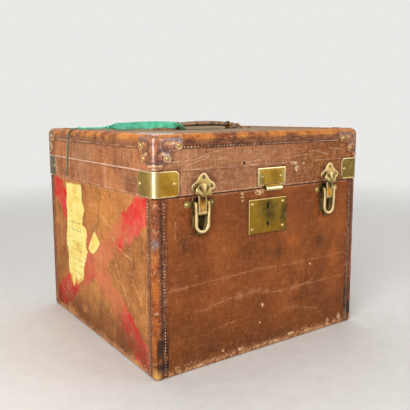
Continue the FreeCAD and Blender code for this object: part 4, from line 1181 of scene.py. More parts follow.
def make_corner_binding(name, signs):
    """A profile round the corner, thick in the middle and creased beside it, carried upwards."""
    foot, head = (corner[2] for corner in mm_box("corner_binding_" + name))
    half = binding_leg - body_corner_radius * (1 - math.pi / 4)
    d = half * crowded(121)
    z = np.concatenate([foot + np.linspace(0, 5, 9)[:-1], np.linspace(foot + 5, head - 2, 70),
                        head - np.array([1, 0.4, 0])])
    base, out = corner_wrap(d, half_width, half_depth, body_corner_radius)
    ridge = bell(d, 6.0)
    groove = np.maximum(bell(np.abs(d) - 10, 1.3), bell(np.abs(d) - stitch_line, 1.0))
    swell = 0.85 + 0.15 * np.sin(0.11 * z + 2.0) + 0.12 * np.sin(0.31 * z)
    thick = (1.3 + 0.9 * ridge * swell[:, None] - 0.4 * groove) * round_over(half - np.abs(d), 1.4)
    ends = round_over(z - foot, 1.4) * round_over(head - z, 1.2)
    tuck = bottom_edge_radius * (1 - round_over(z - foot, bottom_edge_radius))
    outer_w = (thick + sunk) * ends[:, None] - sunk - tuck[:, None]
    inner_w = -sunk - tuck[:, None] + 0 * thick
    height = z[:, None, None] * UP
    outer = base + out * outer_w[..., None] + height
    inner = base + out * inner_w[..., None] + height
    loop = np.concatenate([outer, inner[:, ::-1]], axis=1) * signs
    values = faced(ridge=ridge, groove=groove)
    mesh = build_mesh("binding_" + name, [grid_patch(loop, close_columns=True, **values)], 60)
    place_piece("corner_binding_leather_" + name, mesh, "case", binding_leather,
                ["corner_binding_" + name])
    stitch_z = np.arange(foot + 7, head - 4, stitch_pitch)
    rows = []
    for side in (-stitch_line, stitch_line):
        seat, way = corner_wrap(np.full(len(stitch_z), side), half_width, half_depth, body_corner_radius)
        seat = (seat + 0.6 * way + stitch_z[:, None] * UP) * signs
        rows.append(stitch_row(seat, UP, way * signs, *corner_stitch))
    place_piece("corner_stitches_" + name, build_mesh("stitches_" + name, rows, 80), "case",
                thread)


for corner_name, corner_sign in corner_signs.items():
    make_corner_binding(corner_name, corner_sign)


# %% [markdown]
# ## Edge of the lid
#
# The lid's top edge has the same kind of strip, but its path is a closed ring round a rounded rectangle.
# The profile goes up the side, round the edge and a little way in over the top. It is longer on the
# outside of a bend than on the inside, so each profile point has its own corner radius. The rim band is
# made the same way.

# %% Lid edge binding and rim band
lid_stitch_pitch = 6.4
lid_side_seam, lid_top_seam, lid_top_leg = 2.9, 2.2, 5.5
cap_clearance = (55, 42)
stitch_lean = 0.45


def lid_ring(out, z, per_corner=11, per_side=40):
    """A profile of (out, z) carried round the lid, a rectangle whose corners are quarter circles."""
    bend = np.maximum(lid_corner_radius + out, 0.5)
    angle = np.linspace(0, math.pi / 2, per_corner)[:, None]
    corners = []
    for turn, (side_x, side_y) in enumerate(((1, 1), (-1, 1), (-1, -1), (1, -1))):
        x = side_x * (lid_half_width + out - bend) + bend * np.cos(angle + turn * math.pi / 2)
        y = side_y * (lid_half_depth + out - bend) + bend * np.sin(angle + turn * math.pi / 2)
        corners.append(np.stack([x, y, np.broadcast_to(z, x.shape)], axis=-1))
    share = np.linspace(0, 1, per_side + 2)[1:-1, None, None]
    walk = []
    for corner, following in zip(corners, corners[1:] + corners[:1]):
        walk += [corner, corner[-1] + share * (following[0] - corner[-1])]
    return np.concatenate(walk)


def even_steps(path, pitch):
    """Points every 'pitch' along a closed path, and the direction of the path there."""
    closed = np.concatenate([path, path[:1]])
    whole = walked_length(closed)[-1]
    points = points_at(closed, np.linspace(0, whole, int(whole / pitch), endpoint=False))
    return points, unit(np.roll(points, -1, axis=0) - np.roll(points, 1, axis=0))


def make_lid_edge():
    """A profile up the side, round a quarter circle and in over the top, carried round the lid."""
    side = lid_cover_top - lid_edge_radius - lid_binding_bottom
    arc = lid_edge_radius * math.pi / 2
    whole = side + arc + lid_top_leg
    s = whole / 2 * (1 + crowded(71))
    turn = np.clip((s - side) / lid_edge_radius, 0, math.pi / 2)
    out = lid_edge_radius * (np.cos(turn) - 1) - np.maximum(s - side - arc, 0)
    z = lid_binding_bottom + np.minimum(s, side) + lid_edge_radius * np.sin(turn)
    ridge = bell(s - side - 0.55 * arc, 8.0)
    side_groove, top_groove = bell(s - lid_side_seam, 2.0), bell(s - whole + lid_top_seam, 1.0)
    groove = np.max([side_groove, 0.5 * bell(s - side + 0.5, 1.3), top_groove], axis=0)
    thick = (1.25 + 0.6 * ridge - 0.35 * groove) * round_over(np.minimum(s, whole - s), 1.3)
    outer_out = np.concatenate([out + np.cos(turn) * thick, (out - sunk * np.cos(turn))[::-1]])
    outer_z = np.concatenate([z + np.sin(turn) * thick, (z - sunk * np.sin(turn))[::-1]])
    points = lid_ring(outer_out, outer_z)
    values = faced(ridge=ridge, groove=groove)
    mesh = build_mesh("lid_edge", [grid_patch(points, True, True, **values)], 60)
    place_piece("lid_edge_leather", mesh, "lid", binding_leather, ["lid_edge_binding"])
    path = lid_ring(np.array([0.95]), np.array([z[0] + lid_side_seam]))
    seat, along = even_steps(path[:, 0], lid_stitch_pitch)
    from_corner = np.array([lid_half_width, lid_half_depth]) - np.abs(seat[:, :2])
    in_sight = np.max(from_corner / cap_clearance, axis=1) > 1
    seat, along = seat[in_sight], along[in_sight]
    leaning = along * math.cos(stitch_lean) + UP * math.sin(stitch_lean)
    rows = [stitch_row(seat, leaning, np.cross(along, UP), 4.8, 1.8)]
    path = lid_ring(out[-1:] + lid_top_seam, np.array([lid_cover_top + 0.9]))
    seat, along = even_steps(path[:, 0], lid_stitch_pitch)
    rows.append(stitch_row(seat, along, UP, 4.4, 0.8))
    place_piece("lid_edge_stitches", build_mesh("lid_edge_stitches", rows, 80), "lid",
                thread)


def make_rim_band():
    """A flat profile with a bead and rounded edges, carried round the lid."""
    z = lid_bottom + (band_top - lid_bottom) / 2 * (1 + crowded(41))
    bead = 0.22 * bell(band_top - 1.7 - z, 1.0)
    thick = (band_out - 0.05 + bead) * round_over(band_top - z, 1.1) * round_over(z - lid_bottom, 1.0)
    out = np.concatenate([thick, 0 * z - sunk])
    points = lid_ring(out, np.concatenate([z, z[::-1]]))
    mesh = build_mesh("rim_band", [grid_patch(points, True, True)], 60)
    place_piece("rim_band_leather", mesh, "lid", lid_leather, ["lid_rim_band"])


make_lid_edge()
make_rim_band()


# %% [markdown]
# ## Moulded corner caps
#
# Each upper corner of the lid wears a cap of thick leather, pressed wet over a mould: three lobed wings
# with a raised rim and a ring round each nail. The form is a polar map of the corner: directions go once
# round the three faces, and distance runs from the corner to the outline. A flat point is laid onto the
# rounded corner by moving it towards the corner's core, and the cap's thickness is then added outwards.

# %% Corner caps
cap_arm_front, cap_arm_side, cap_knee, cap_lobe, cap_foot = 45.0, 32.0, 24.0, 9.0, 16.0
cap_arm_drop, cap_knee_drop, cap_foot_drop = 16.1, 35.6, 53.4
cap_bend = 10.5


def box_exit(angle, u, v):
    """Distance from the corner of a box to its far sides, in a direction between the two axes."""
    return np.minimum(u / np.maximum(np.cos(angle), 1e-6), v / np.maximum(np.sin(angle), 1e-6))


def disc_exit(angle, u, v, radius):
    """Distance from the origin to the far side of a disc, or 0 where the direction misses it."""
    along = u * np.cos(angle) + v * np.sin(angle)
    chord = along ** 2 - u ** 2 - v ** 2 + radius ** 2
    return np.where(chord > 0, np.maximum(along + np.sqrt(np.maximum(chord, 0)), 0), 0)


def wing_reach(angle, arm):
    """Outline of one upright wing: the farthest of its arm, its knee and its foot."""
    lobes = [box_exit(angle, arm, cap_arm_drop + cap_lobe), box_exit(angle, arm + cap_lobe, cap_arm_drop),
             disc_exit(angle, arm, cap_arm_drop, cap_lobe),
             box_exit(angle, cap_knee, cap_knee_drop + cap_lobe),
             disc_exit(angle, cap_knee, cap_knee_drop, cap_lobe), box_exit(angle, cap_foot, cap_foot_drop)]
    return np.max(lobes, axis=0)


def smooth_ring(values, passes):
    """Rounds a closed row of values: each becomes the mean of itself and its neighbours, several times."""
    for _ in range(passes):
        values = (np.roll(values, 1) + 2 * values + np.roll(values, -1)) / 4
    return values


def to_segment(points, start, end):
    """Distance from points to a straight segment."""
    span = np.subtract(end, start)
    share = np.clip((points - start) @ span / (span @ span), 0, 1)
    return np.linalg.norm(points - start - share[..., None] * span, axis=-1)


def make_cap(name, signs):
    """A polar map of the corner: reach times share, bent over a round core, then made thick."""
    steps = np.linspace(0, math.pi / 2, 60, endpoint=False)
    nothing = 0 * steps
    front = np.stack([np.cos(steps), nothing, -np.sin(steps)], axis=-1)
    side = np.stack([nothing, np.sin(steps), -np.cos(steps)], axis=-1)
    top = np.stack([np.sin(steps), np.cos(steps), nothing], axis=-1)
    top_reach = np.max([0 * steps + 34, box_exit(steps, 15, cap_arm_side + cap_lobe),
                        box_exit(steps, cap_arm_front + cap_lobe, 15)], axis=0)
    front_reach = wing_reach(steps, cap_arm_front)
    side_reach = wing_reach(math.pi / 2 - steps, cap_arm_side)
    reach = smooth_ring(np.concatenate([front_reach, side_reach, top_reach]), 5)
    share = np.concatenate([np.linspace(0, 0.82, 34), np.linspace(0.83, 1, 26)])[:, None]
    corner = np.array([-lid_half_width, -lid_half_depth, lid_cover_top])
    flat = corner + (share * reach)[..., None] * np.concatenate([front, side, top])
    edge = (1 - share) * reach
    nails = corner + np.array([(cap_arm_front, 0, -cap_arm_drop), (cap_knee, 0, -cap_knee_drop),
                               (0, cap_arm_side, -cap_arm_drop), (0, cap_knee, -cap_knee_drop)])
    roots = nails - np.array([(21, 0, 1.0), (9, 0, -3.0), (0, 14, 1.0), (0, 9, -3.0)])
    to_nail = np.min(np.linalg.norm(flat[..., None, :] - nails, axis=-1), axis=-1)
    tips = 0.4 * roots + 0.6 * nails
    to_finger = np.min([to_segment(flat, root, nail) for root, nail in zip(roots, nails)], axis=0)
    # The crest lies on the upper side of each finger, where a highlight is painted.
    lift = 4.2 * UP
    to_crest = np.min([to_segment(flat, root + lift, tip + lift) for root, tip in zip(roots, tips)], axis=0)
    upright_face = np.concatenate([0 * steps + 1, 0 * steps + 1, 0 * steps])
    collar = bell(lid_cover_top - flat[..., 2] - cap_foot_drop + 6.5, 1.4) * upright_face
    rim = bell(edge - 1.6, 1.2)
    ring = 0.8 * bell(to_nail - 5.3, 1.0)
    crest = bell(to_crest, 2.0) * upright_face
    # Ridge marks painted highlights with rubbed leather; dip marks painted shade in the hollows.
    ridge = np.max([0.7 * rim, ring, crest, collar], axis=0)
    foot_crease = bell(lid_cover_top - flat[..., 2] - cap_foot_drop + 10, 1.3) * upright_face
    hollows = [0.8 * bell(to_finger - 9.0, 2.2), foot_crease, 0.8 * bell(to_nail - 8.0, 1.0)]
    dip = np.max(hollows, axis=0) * (1 - ridge)
    thick = 2.2 + 0.6 * bell(to_finger, 6.0) + 0.45 * np.max([rim, ring, collar], axis=0) - 0.4 * dip
    thick = np.where(to_nail < 3.4, 3.0, thick)
    thick = 0.1 + (thick - 0.1) * round_over(edge, 1.3)
    core = np.array([cap_bend - lid_half_width, cap_bend - lid_half_depth, lid_cover_top - cap_bend])
    beyond = np.minimum(flat - core, (0, 0, np.inf))
    beyond[..., 2] = np.maximum(flat[..., 2] - core[2], 0)
    away = unit(beyond)
    surface = flat - beyond + cap_bend * away
    outer = surface + away * thick[..., None]
    back = np.linspace(len(share) - 1, 0, 14).astype(int)
    inner = (surface + 0.1 * away)[back]
    values = {"ridge": np.concatenate([ridge, 0 * ridge[back]]),
              "groove": np.concatenate([dip, 0 * dip[back]])}
    points = np.concatenate([outer, inner]) * signs
    mesh = build_mesh("cap_" + name, [grid_patch(points, close_columns=True, **values)], 70)
    place_piece("corner_cap_leather_" + name, mesh, "lid", cap_leather,
                ["corner_cap_" + name])


for corner_name, corner_sign in corner_signs.items():
    make_cap(corner_name, corner_sign)


# %% [markdown]
# ## Brass plates
#
# The plates are stamped from sheet: rounded ends, a faint raised border, small dents. The rim plates bend
# round the lid's lower corners, so their flat form is a grid of walk and height that the corner's formula
# bends. The hasp plate and the keepers are flat, with an outline that is carried inwards in rings.

# %% Rim plates
rim_plate_leg = 47.0
rim_plate_round = 9.0


def make_rim_plate(name, signs):
    """A grid of walk and height with round ends and a raised border, bent round the corner."""
    corners = np.array(mm_box("rim_plate_" + name))
    low, high = corners[:, 2]
    sheet_thickness = np.max(np.abs(corners[:, 0])) - lid_half_width - band_out
    radius = lid_corner_radius + band_out
    half = rim_plate_leg - radius * (1 - math.pi / 4)
    s = half * crowded(101)[:, None]
    v = crowded(45)[None, :]
    end = half - np.abs(s)
    half_height = (high - low) / 2 - rim_plate_round * (1 - round_over(end, rim_plate_round))
    border = np.minimum(end, half_height * (1 - np.abs(v)))
    dents = 0.05 * np.sin(0.21 * s + 3 * v) + 0.03 * np.sin(0.37 * s - 5 * v + 1)
    thick = (sheet_thickness - 0.1 + 0.2 * bell(border - 1.7, 0.9)) * round_over(border, 0.7)
    thick = thick + np.clip(border / 6, 0, 1) * (dents - 0.05)
    base, out = corner_wrap(s[:, 0], lid_half_width + band_out, lid_half_depth + band_out, radius)
    height = (low + high) / 2 + v * half_height
    outer = base[:, None] + out[:, None] * thick[..., None] + UP * height[..., None]
    inner = base[:, None] + UP * height[..., None]
    points = np.concatenate([outer, inner[:, ::-1]], axis=1) * signs
    # Painted highlight with rubbed brass on the rim and the bend, and painted shade on the side leg.
    rubbed_and_lit = np.maximum(bell(border - 0.7, 1.2), 0.9 * bell(s, 5.5))
    side_leg_shade = np.broadcast_to(0.42 * bell(s - 26, 17), border.shape)
    values = faced(ridge=rubbed_and_lit, groove=side_leg_shade)
    mesh = build_mesh("rim_plate_" + name, [grid_patch(points, close_columns=True, **values)], 50)
    kind = brass if name == "front_left" else olive_brass
    place_piece("rim_plate_brass_" + name, mesh, "lid", kind, ["rim_plate_" + name])


for corner_name, corner_sign in corner_signs.items():
    make_rim_plate(corner_name, corner_sign)


# %% [markdown]
# ## Flat plates and bars
#
# Flat fittings need two tools. A plate is its outline carried in rings: over the back, round the edge on
# a quarter circle and in over the face. A bar is a closed profile carried sideways, with its ends a
# little rounded.

# %% Flat plates
def front_points(x, out, z):
    """Points in front of the body's front face: 'out' is the distance from it."""
    return np.stack(np.broadcast_arrays(x, -half_depth - out, z), axis=-1)


def plate_patch(outline, thickness, edge, place, bulge=0.0):
    """A plate from its closed outline: rings run over the back, round the edge and in over the face."""
    middle = outline.mean(axis=0)
    tangent = np.roll(outline, -1, axis=0) - np.roll(outline, 1, axis=0)
    normal = unit(np.stack([tangent[:, 1], -tangent[:, 0]], axis=-1))
    bend = np.linspace(0, math.pi / 2, 5)[:, None]
    edge_rings = outline - normal * (edge * (1 - np.cos(bend)))[..., None]
    edge_height = np.broadcast_to(thickness - edge + edge * np.sin(bend), edge_rings.shape[:2])
    share = np.array([0.9, 0.7, 0.45, 0.2, 0.0])[:, None]
    face_rings = middle + (edge_rings[-1] - middle) * share[..., None]
    face_height = np.broadcast_to(thickness + bulge * (1 - share ** 2), face_rings.shape[:2])
    back = np.stack([0 * outline + middle, outline])
    rings = np.concatenate([back, edge_rings, face_rings])
    height = np.concatenate([np.zeros(back.shape[:2]), edge_height, face_height])
    # Painted highlight with rubbed brass round the edge.
    rubbed_and_lit = np.array([0, 0, 1, 1, 1, 1, 1, 0.25, 0, 0, 0, 0])[:, None]
    return grid_patch(place(rings[..., 0], rings[..., 1], height), close_columns=True, ridge=rubbed_and_lit)


def rounded_rectangle(half_u, half_v, radius, per_corner=9):
    """Outline of a rectangle with round corners, anticlockwise."""
    angle = np.linspace(0, math.pi / 2, per_corner)
    quarters = []
    for turn, (u, v) in enumerate(((1, 1), (-1, 1), (-1, -1), (1, -1))):
        swing = angle + turn * math.pi / 2
        corner = np.array([u * (half_u - radius), v * (half_v - radius)])
        quarters.append(corner + radius * np.stack([np.cos(swing), np.sin(swing)], axis=-1))
    return np.concatenate(quarters)


def bar_patch(profile_out, profile_z, x0, x1, edge):
    """A closed profile carried along x, with flat ends that are a little rounded at their rims."""
    middle_out = profile_out.mean()
    middle_z = profile_z.mean()
    size = max(np.ptp(profile_out), np.ptp(profile_z)) / 2
    share = np.array([0, 1 - edge / size, 1, 1, 1 - edge / size, 0])[:, None]
    x = np.array([x0, x0, x0 + edge, x1 - edge, x1, x1])[:, None]
    out = middle_out + share * (profile_out - middle_out)
    z = middle_z + share * (profile_z - middle_z)
    return grid_patch(front_points(x, out, z), close_columns=True)


def laid_on(middle_x, face, middle_z):
    """Places a plate: u and v run from its middle across and up, w outwards from a face."""
    return lambda u, v, w: front_points(middle_x + u, face + w, middle_z + v)


print("a plate outline has", len(rounded_rectangle(10, 5, 1)), "points")


# %% [markdown]
# ## Hasp plate and keepers
#
# The hasp plate is rolled round a pin at its foot, and its hasp is gone. Each keeper is a lobed plate
# with a bar below, which the latch hooks over. Its outline is written as a reach for each angle, the same
# on both sides.

# %% Hasp plate and keepers
lid_face = lid_half_depth + band_out - half_depth


def make_hasp():
    """A flat plate, a rolled knuckle round the pin, and the curl between them."""
    low, high = mm_box("hasp_plate")
    pin_low, pin_high = mm_box("hasp_pin")
    axis_z = (pin_low[2] + pin_high[2]) / 2
    knuckle = axis_z - low[2]
    plate_bottom = axis_z + knuckle
    middle_x = (low[0] + high[0]) / 2
    middle_z = (plate_bottom + high[2]) / 2
    outline = rounded_rectangle((high[0] - low[0]) / 2, (high[2] - plate_bottom) / 2, 1.2)
    patches = [plate_patch(outline, 1.2, 0.45, laid_on(middle_x, lid_face, middle_z))]
    angle = circle(40)
    ring_out = lid_face + knuckle + knuckle * np.cos(angle)
    ring_z = axis_z + knuckle * np.sin(angle)
    rolled, rolled_faces, _ = bar_patch(ring_out, ring_z, pin_low[0], pin_high[0], 0.5)
    patches.append((rolled, rolled_faces, {"ridge": np.full(len(rolled), 0.9)}))
    curl_out = lid_face + np.array([0.0, 2.0, 4.0, 3.0, 1.6, 1.2, 1.2, 0.0])
    curl_z = plate_bottom + np.array([-5.0, -4.0, -1.0, -0.2, 0.4, 1.2, 2.4, 2.4])
    patches.append(bar_patch(curl_out, curl_z, pin_low[0], pin_high[0], 0.1))
    place_piece("hasp_plate_brass", build_mesh("hasp", patches), "lid", hasp_brass, ["hasp_plate"])


keeper_middle = 14.0
nose_half = 14.0
keeper_angles = (-90, -48, -42, -28, -20, -8, 4, 12, 24, 45, 62, 75, 84, 90)
keeper_reach = (14.0, 18.4, 19.0, 17.6, 21.4, 23.2, 22.6, 20.4, 16.4, 15.0, 17.2, 19.6, 20.4, 21.4)


def make_keeper(side):
    """A plate whose outline is a reach for each angle, and a bar along its lower edge."""
    keeper = "latch_" + side + "_keeper"
    low, high = mm_box(keeper)
    middle_x = (low[0] + high[0]) / 2
    middle_z = lid_bottom + keeper_middle
    angle = np.linspace(-math.pi / 2, 1.5 * math.pi, 144, endpoint=False)
    from_level = np.arcsin(np.sin(angle))
    reach = smooth_ring(np.interp(np.degrees(from_level), keeper_angles, keeper_reach), 2)
    outline = np.stack([reach * np.cos(angle), reach * np.sin(angle)], axis=-1)
    patches = [plate_patch(outline, 1.5, 0.55, laid_on(middle_x, lid_face, middle_z))]
    forth, lift = squared_oval(circle(28), 0.6)
    nose_out = lid_face + 3.6 + 2.3 * forth
    nose_z = low[2] + 3.0 + 3.0 * lift
    patches.append(bar_patch(nose_out, nose_z, middle_x - nose_half, middle_x + nose_half, 0.8))
    mesh = build_mesh("keeper_" + side, patches)
    place_piece(keeper + "_brass", mesh, "lid", pale_brass, [keeper])


make_hasp()
for latch_side in ("left", "right"):
    make_keeper(latch_side)


# %% [markdown]
# ## Lever latches
#
# A latch closes with two turning pieces. The lever is a bar bent to a U; its link hangs between the two
# arms, hooks over the keeper and is pulled down by the lever. The link's head is cast as a fluted shell.
# The lever is a rounded section carried along the U, and the shell a fan of rays from its neck with a
# wave across them.

# %% Levers and links
lever_bar = 3.7
link_half = 7.8
strap_out = 8.8
lip_height = 4.05
barrel_radius = 3.2
shell_spread = 1.62
shell_offset, shell_radius = 10.4, 11.2


def make_lever(side):
    """A squared oval carried along a U: down one arm, round a half circle and up the other."""
    lever = "latch_" + side + "_lever"
    low, high = mm_box(lever)
    middle_x = (low[0] + high[0]) / 2
    run = (high[0] - low[0] - lever_bar) / 2
    bow_z = low[2] + run + lever_bar / 2
    arm = high[2] - bow_z
    bow = math.pi * run
    whole = 2 * arm + bow
    first_arm = [np.linspace(0, 6, 12), np.linspace(7, arm, 16)]
    second_arm = [arm + bow + np.linspace(0, arm - 6, 16)[1:], whole - np.linspace(6, 0, 12)[1:]]
    walk = np.concatenate([*first_arm, arm + np.linspace(0, bow, 40)[1:], *second_arm])
    turn = np.clip((walk - arm) / run, 0, math.pi)
    climb = np.maximum(arm - walk, 0) + np.maximum(walk - arm - bow, 0)
    x = middle_x - run * np.cos(turn)
    z = bow_z - run * np.sin(turn) + climb
    inward = np.stack([np.cos(turn), 0 * turn, np.sin(turn)], axis=-1)
    from_end = np.minimum(walk, whole - walk)
    depth = 3.5 * round_over(from_end, 4.0) * (0.80 + 0.2 * np.clip(climb / 14, 0, 1))
    extra = 1.5 * np.clip((24 - climb) / 14, 0, 1)
    x = x + inward[:, 0] * extra / 2
    z = z + inward[:, 2] * extra / 2
    width = (lever_bar + extra) / 2 * round_over(from_end, 1.2)
    centre_out = 8.5 - 1.2 * np.clip((climb - arm + 9) / 9, 0, 1)
    across, forth = squared_oval(circle(20), 0.75)
    side_x = inward[:, :1] * width[:, None] * across
    side_z = inward[:, 2:] * width[:, None] * across
    out = centre_out[:, None] + depth[:, None] * forth
    points = front_points(x[:, None] + side_x, out, z[:, None] + side_z)
    # Painted highlight with rubbed brass on the front of the bow.
    rubbed_and_lit = 0.8 * np.clip(forth * 1.4, 0, 1)[None, :] * np.clip(1.6 - climb / 26, 0, 1)[:, None]
    mesh = build_mesh("lever_" + side, [grid_patch(points, close_columns=True, ridge=rubbed_and_lit)], 60)
    place_piece(lever + "_brass", mesh, lever, pale_brass, [lever])


def shell_patch(middle_x, neck_z, back_out):
    """A fluted shell: rays from the neck to a round rim, and waves across the rays for the flutes."""
    fan = np.linspace(-shell_spread, shell_spread, 109)[None, :]
    share = np.concatenate([np.linspace(0, 0.9, 22), np.linspace(0.92, 1, 8)])[:, None]
    chord = shell_radius ** 2 - (shell_offset * np.sin(fan)) ** 2
    rim = shell_offset * np.cos(fan) + np.sqrt(np.maximum(chord, 0))
    flute = np.cos(fan * 7.76) * 0.5 + 0.5
    reach = rim * share * (0.95 + 0.05 * flute) + 0.3
    rise = 3.8 * np.sin(math.pi * share ** 0.75) ** 0.55 * np.cos(fan / shell_spread * 1.35) ** 0.35
    hollow = (1 - flute) ** 1.5 * np.clip(share * 1.5, 0, 1) * np.clip((1 - share) * 8, 0, 1)
    x = middle_x + 1.3 * reach * np.sin(fan)
    z = neck_z + reach * np.cos(fan)
    front = front_points(x, back_out + np.maximum(rise - 1.3 * hollow, 0), z)
    back = front_points(x, back_out - 0.3, z)
    # Painted highlight on the flute crests; the hollows get painted shade.
    rubbed_and_lit = 0.35 * flute ** 2 * np.clip(share * 1.2, 0, 1)
    points = np.concatenate([front, back[:, ::-1]], axis=1)
    return grid_patch(points, close_columns=True, **faced(ridge=rubbed_and_lit, groove=hollow))


def make_link(side):
    """A barrel round the pin, a flat strap, a lip over the keeper and a shell on its face."""
    pin_low, pin_high = mm_box("latch_" + side + "_link_pin")
    middle_x = (pin_low[0] + pin_high[0]) / 2
    axis_z = (pin_low[2] + pin_high[2]) / 2
    left, right = middle_x - link_half, middle_x + link_half
    lip_z = lid_bottom + lip_height
    angle = circle(28)
    barrel_out = 9.0 + barrel_radius * np.cos(angle)
    patches = [bar_patch(barrel_out, axis_z + barrel_radius * np.sin(angle), left, right, 0.4)]
    outline = rounded_rectangle(link_half, (lip_z + 2.0 - axis_z) / 2, 1.0)
    middle_z = (lip_z + 2.0 + axis_z) / 2
    strap_place = laid_on(middle_x, strap_out, middle_z)
    points, faces, values = plate_patch(outline, 2.0, 0.6, strap_place, 0.5)
    # Painted shade on the strap under the shell and towards the pin.
    hidden = np.clip((points[:, 2] - lip_z + 21) / 7, 0, 1)
    dark_share = np.maximum(hidden, 0.7 * np.clip((axis_z + 8 - points[:, 2]) / 12, 0, 1))
    patches.append((points, faces, {**values, "groove": dark_share, "amber": np.ones(len(points))}))
    lip_out = np.array([5.2, 5.6, 8.0, 10.0, 10.0, 5.6, 5.2])
    lip_profile = lip_z + np.array([0.4, 0.0, 0.0, 0.0, 2.0, 2.0, 1.6])
    patches.append(bar_patch(lip_out, lip_profile, left, right, 0.3))
    patches.append(shell_patch(middle_x + 1.5, lip_z - 6.0, 10.7))
    link = "latch_" + side + "_link"
    place_piece(link + "_brass", build_mesh("link_" + side, patches, 50), link, pale_brass, [link])


for latch_side in ("left", "right"):
    make_lever(latch_side)
    make_link(latch_side)


# %% [markdown]
# ## Softened castings
#
# Some fittings already have their true outline in the frame, and only their edges are too sharp: no
# casting or stamping has a perfect corner, and a rounded one catches the light. They are copied, their
# doubled points are merged, and a small bevel is laid on every edge.

# %% Softened copies
soft_edge_angle = 35.0


def softened_copy(node_name, body, width, finish):
    """A copy of a node in its own place, with a bevel of some width in mm on its sharp edges."""
    mesh = nodes[node_name].data.copy()
    mesh.transform(nodes[node_name].matrix_world)
    mesh.materials.clear()
    clean_mesh(mesh, 0.001, soft_edge_angle, 1.0)
    piece = place_piece(node_name + "_soft", mesh, body, finish, [node_name])
    bevel = piece.modifiers.new("soft_edges", "BEVEL")
    bevel.width = width * MM
    bevel.segments = 2
    bevel.limit_method = "ANGLE"
    bevel.angle_limit = math.radians(soft_edge_angle)


softened_copy("lock_plate", "case", 0.35, lock_brass)
softened_copy("latch_left_base", "case", 0.35, base_brass)
softened_copy("latch_right_base", "case", 0.35, base_brass)
softened_copy("handle_eyes", "lid", 0.5, brown_brass)
softened_copy("hinge_body_leaves", "case", 0.35, brass)
softened_copy("hinge_lid_leaves", "lid", 0.35, brass)


# %% [markdown]
# ## Handle
#
# The grip is layers of leather sewn along both edges, broad in the middle and narrow where it meets the
# eyes. Its section is a squared oval that is carried along an arch; a crease runs beside each row of
# stitches. The two chapes are flat tabs of the same leather, which hold the eyes down on the lid, with
# folds beside each eye.

# %% Grip and chapes
handle_low, handle_high = mm_box("handle_grip")
handle_x = (handle_low[0] + handle_high[0]) / 2
handle_y = (handle_low[1] + handle_high[1]) / 2
handle_axis_z = lid_cover_top + 9.4
handle_stitch = (3.4, 0.8)
grip_seam = 0.80
chape_half_length = 26.0
fold_length = 36.0


def grip_sizes(u):
    """Half width, half thickness and height of the arch at a share u of the grip's half length."""
    belly = 1 - u ** 2
    return 6.5 + 3.5 * belly, 4.0 + 0.5 * belly, 2.5 * belly


def make_grip():
    """A squared oval carried along an arch, broader and thicker towards the middle."""
    half = (handle_high[0] - handle_low[0]) / 2
    u = crowded(81)[:, None]
    angle = circle(48)[None, :]
    ends = round_over(half - np.abs(u) * half, 2.0)
    across, lift = squared_oval(angle, 0.62)
    half_wide, half_thick, arch = grip_sizes(u)
    half_wide, half_thick = half_wide * ends, half_thick * ends
    # The finish paints shade on the seams and the underside, and a highlight on the edges.
    seam = bell(np.abs(across) - grip_seam, 0.06) * np.clip(lift * 4, 0, 1)
    groove = np.maximum(seam, np.clip(-1.5 * lift, 0, 1)) + 0 * u
    ridge = bell(np.abs(across) - 1.0, 0.16) + 0 * u
    y = handle_y + half_wide * across
    relief = 0.10 * (1 - across ** 2) * lift - 0.14 * groove * np.clip(lift, 0, 1)
    z = handle_axis_z + arch + half_thick * (lift + relief)
    points = np.stack([handle_x + half * u + 0 * angle, y, z], axis=-1)
    mesh = build_mesh("grip", [grid_patch(points, close_columns=True, ridge=ridge, groove=groove)], 60)
    place_piece("handle_grip_leather", mesh, "handle", handle_leather, ["handle_grip"])
    walk = np.arange(-half + 5, half - 4, 5.0)
    wide, thick, arch = grip_sizes(walk / half)
    rows = []
    for side in (-1, 1):
        seat_y = handle_y + side * grip_seam * wide
        seat = np.stack([handle_x + walk, seat_y, handle_axis_z + arch + thick * 0.70], axis=-1)
        along = unit(np.gradient(seat, axis=0))
        rows.append(stitch_row(seat, along, np.cross(along, (0.0, 1.0, 0.0)), *handle_stitch))
    place_piece("handle_stitches", build_mesh("handle_stitches", rows, 80), "handle",
                thread)


def fold_patch(x, side, tall):
    """Two rolls of folded leather beside an eye: bells along the strap, domed across it."""
    away = np.linspace(0, fold_length, 46)[:, None]
    v = np.linspace(-1, 1, 21)[None, :]
    rolls = 8.6 * bell(away - 10, 4.6) + 6.8 * bell(away - 23, 4.6) + 1.5 * bell(away - 16, 9.0)
    half = 9.0 * round_over(np.minimum(away, fold_length - away), 5.0) * (1 - 0.12 * bell(away - 16.5, 2.5))
    top = tall - 0.4 + rolls * (1 - np.abs(v) ** 3.5) * (1 + 0.05 * np.sin(1.7 * away + 3 * v))
    sides = np.broadcast_arrays(x + side * away, handle_y + half * v, lid_cover_top + top)
    upper = np.stack(sides, axis=-1)
    lower = upper * (1, 1, 0) + (0, 0, lid_cover_top + tall - 1.0)
    # Painted highlight on the crests of the rolls and painted shade in the creases.
    rubbed_and_lit = np.maximum(bell(away - 9, 2.6), bell(away - 22, 2.6)) + 0 * v
    creased = bell(away - 16.5, 2.6) + bell(away - 30, 2.0) + 0 * v
    points = np.concatenate([upper, lower[:, ::-1]], axis=1)
    values = faced(ridge=rubbed_and_lit, groove=creased)
    return grid_patch(points, close_columns=True, **values)


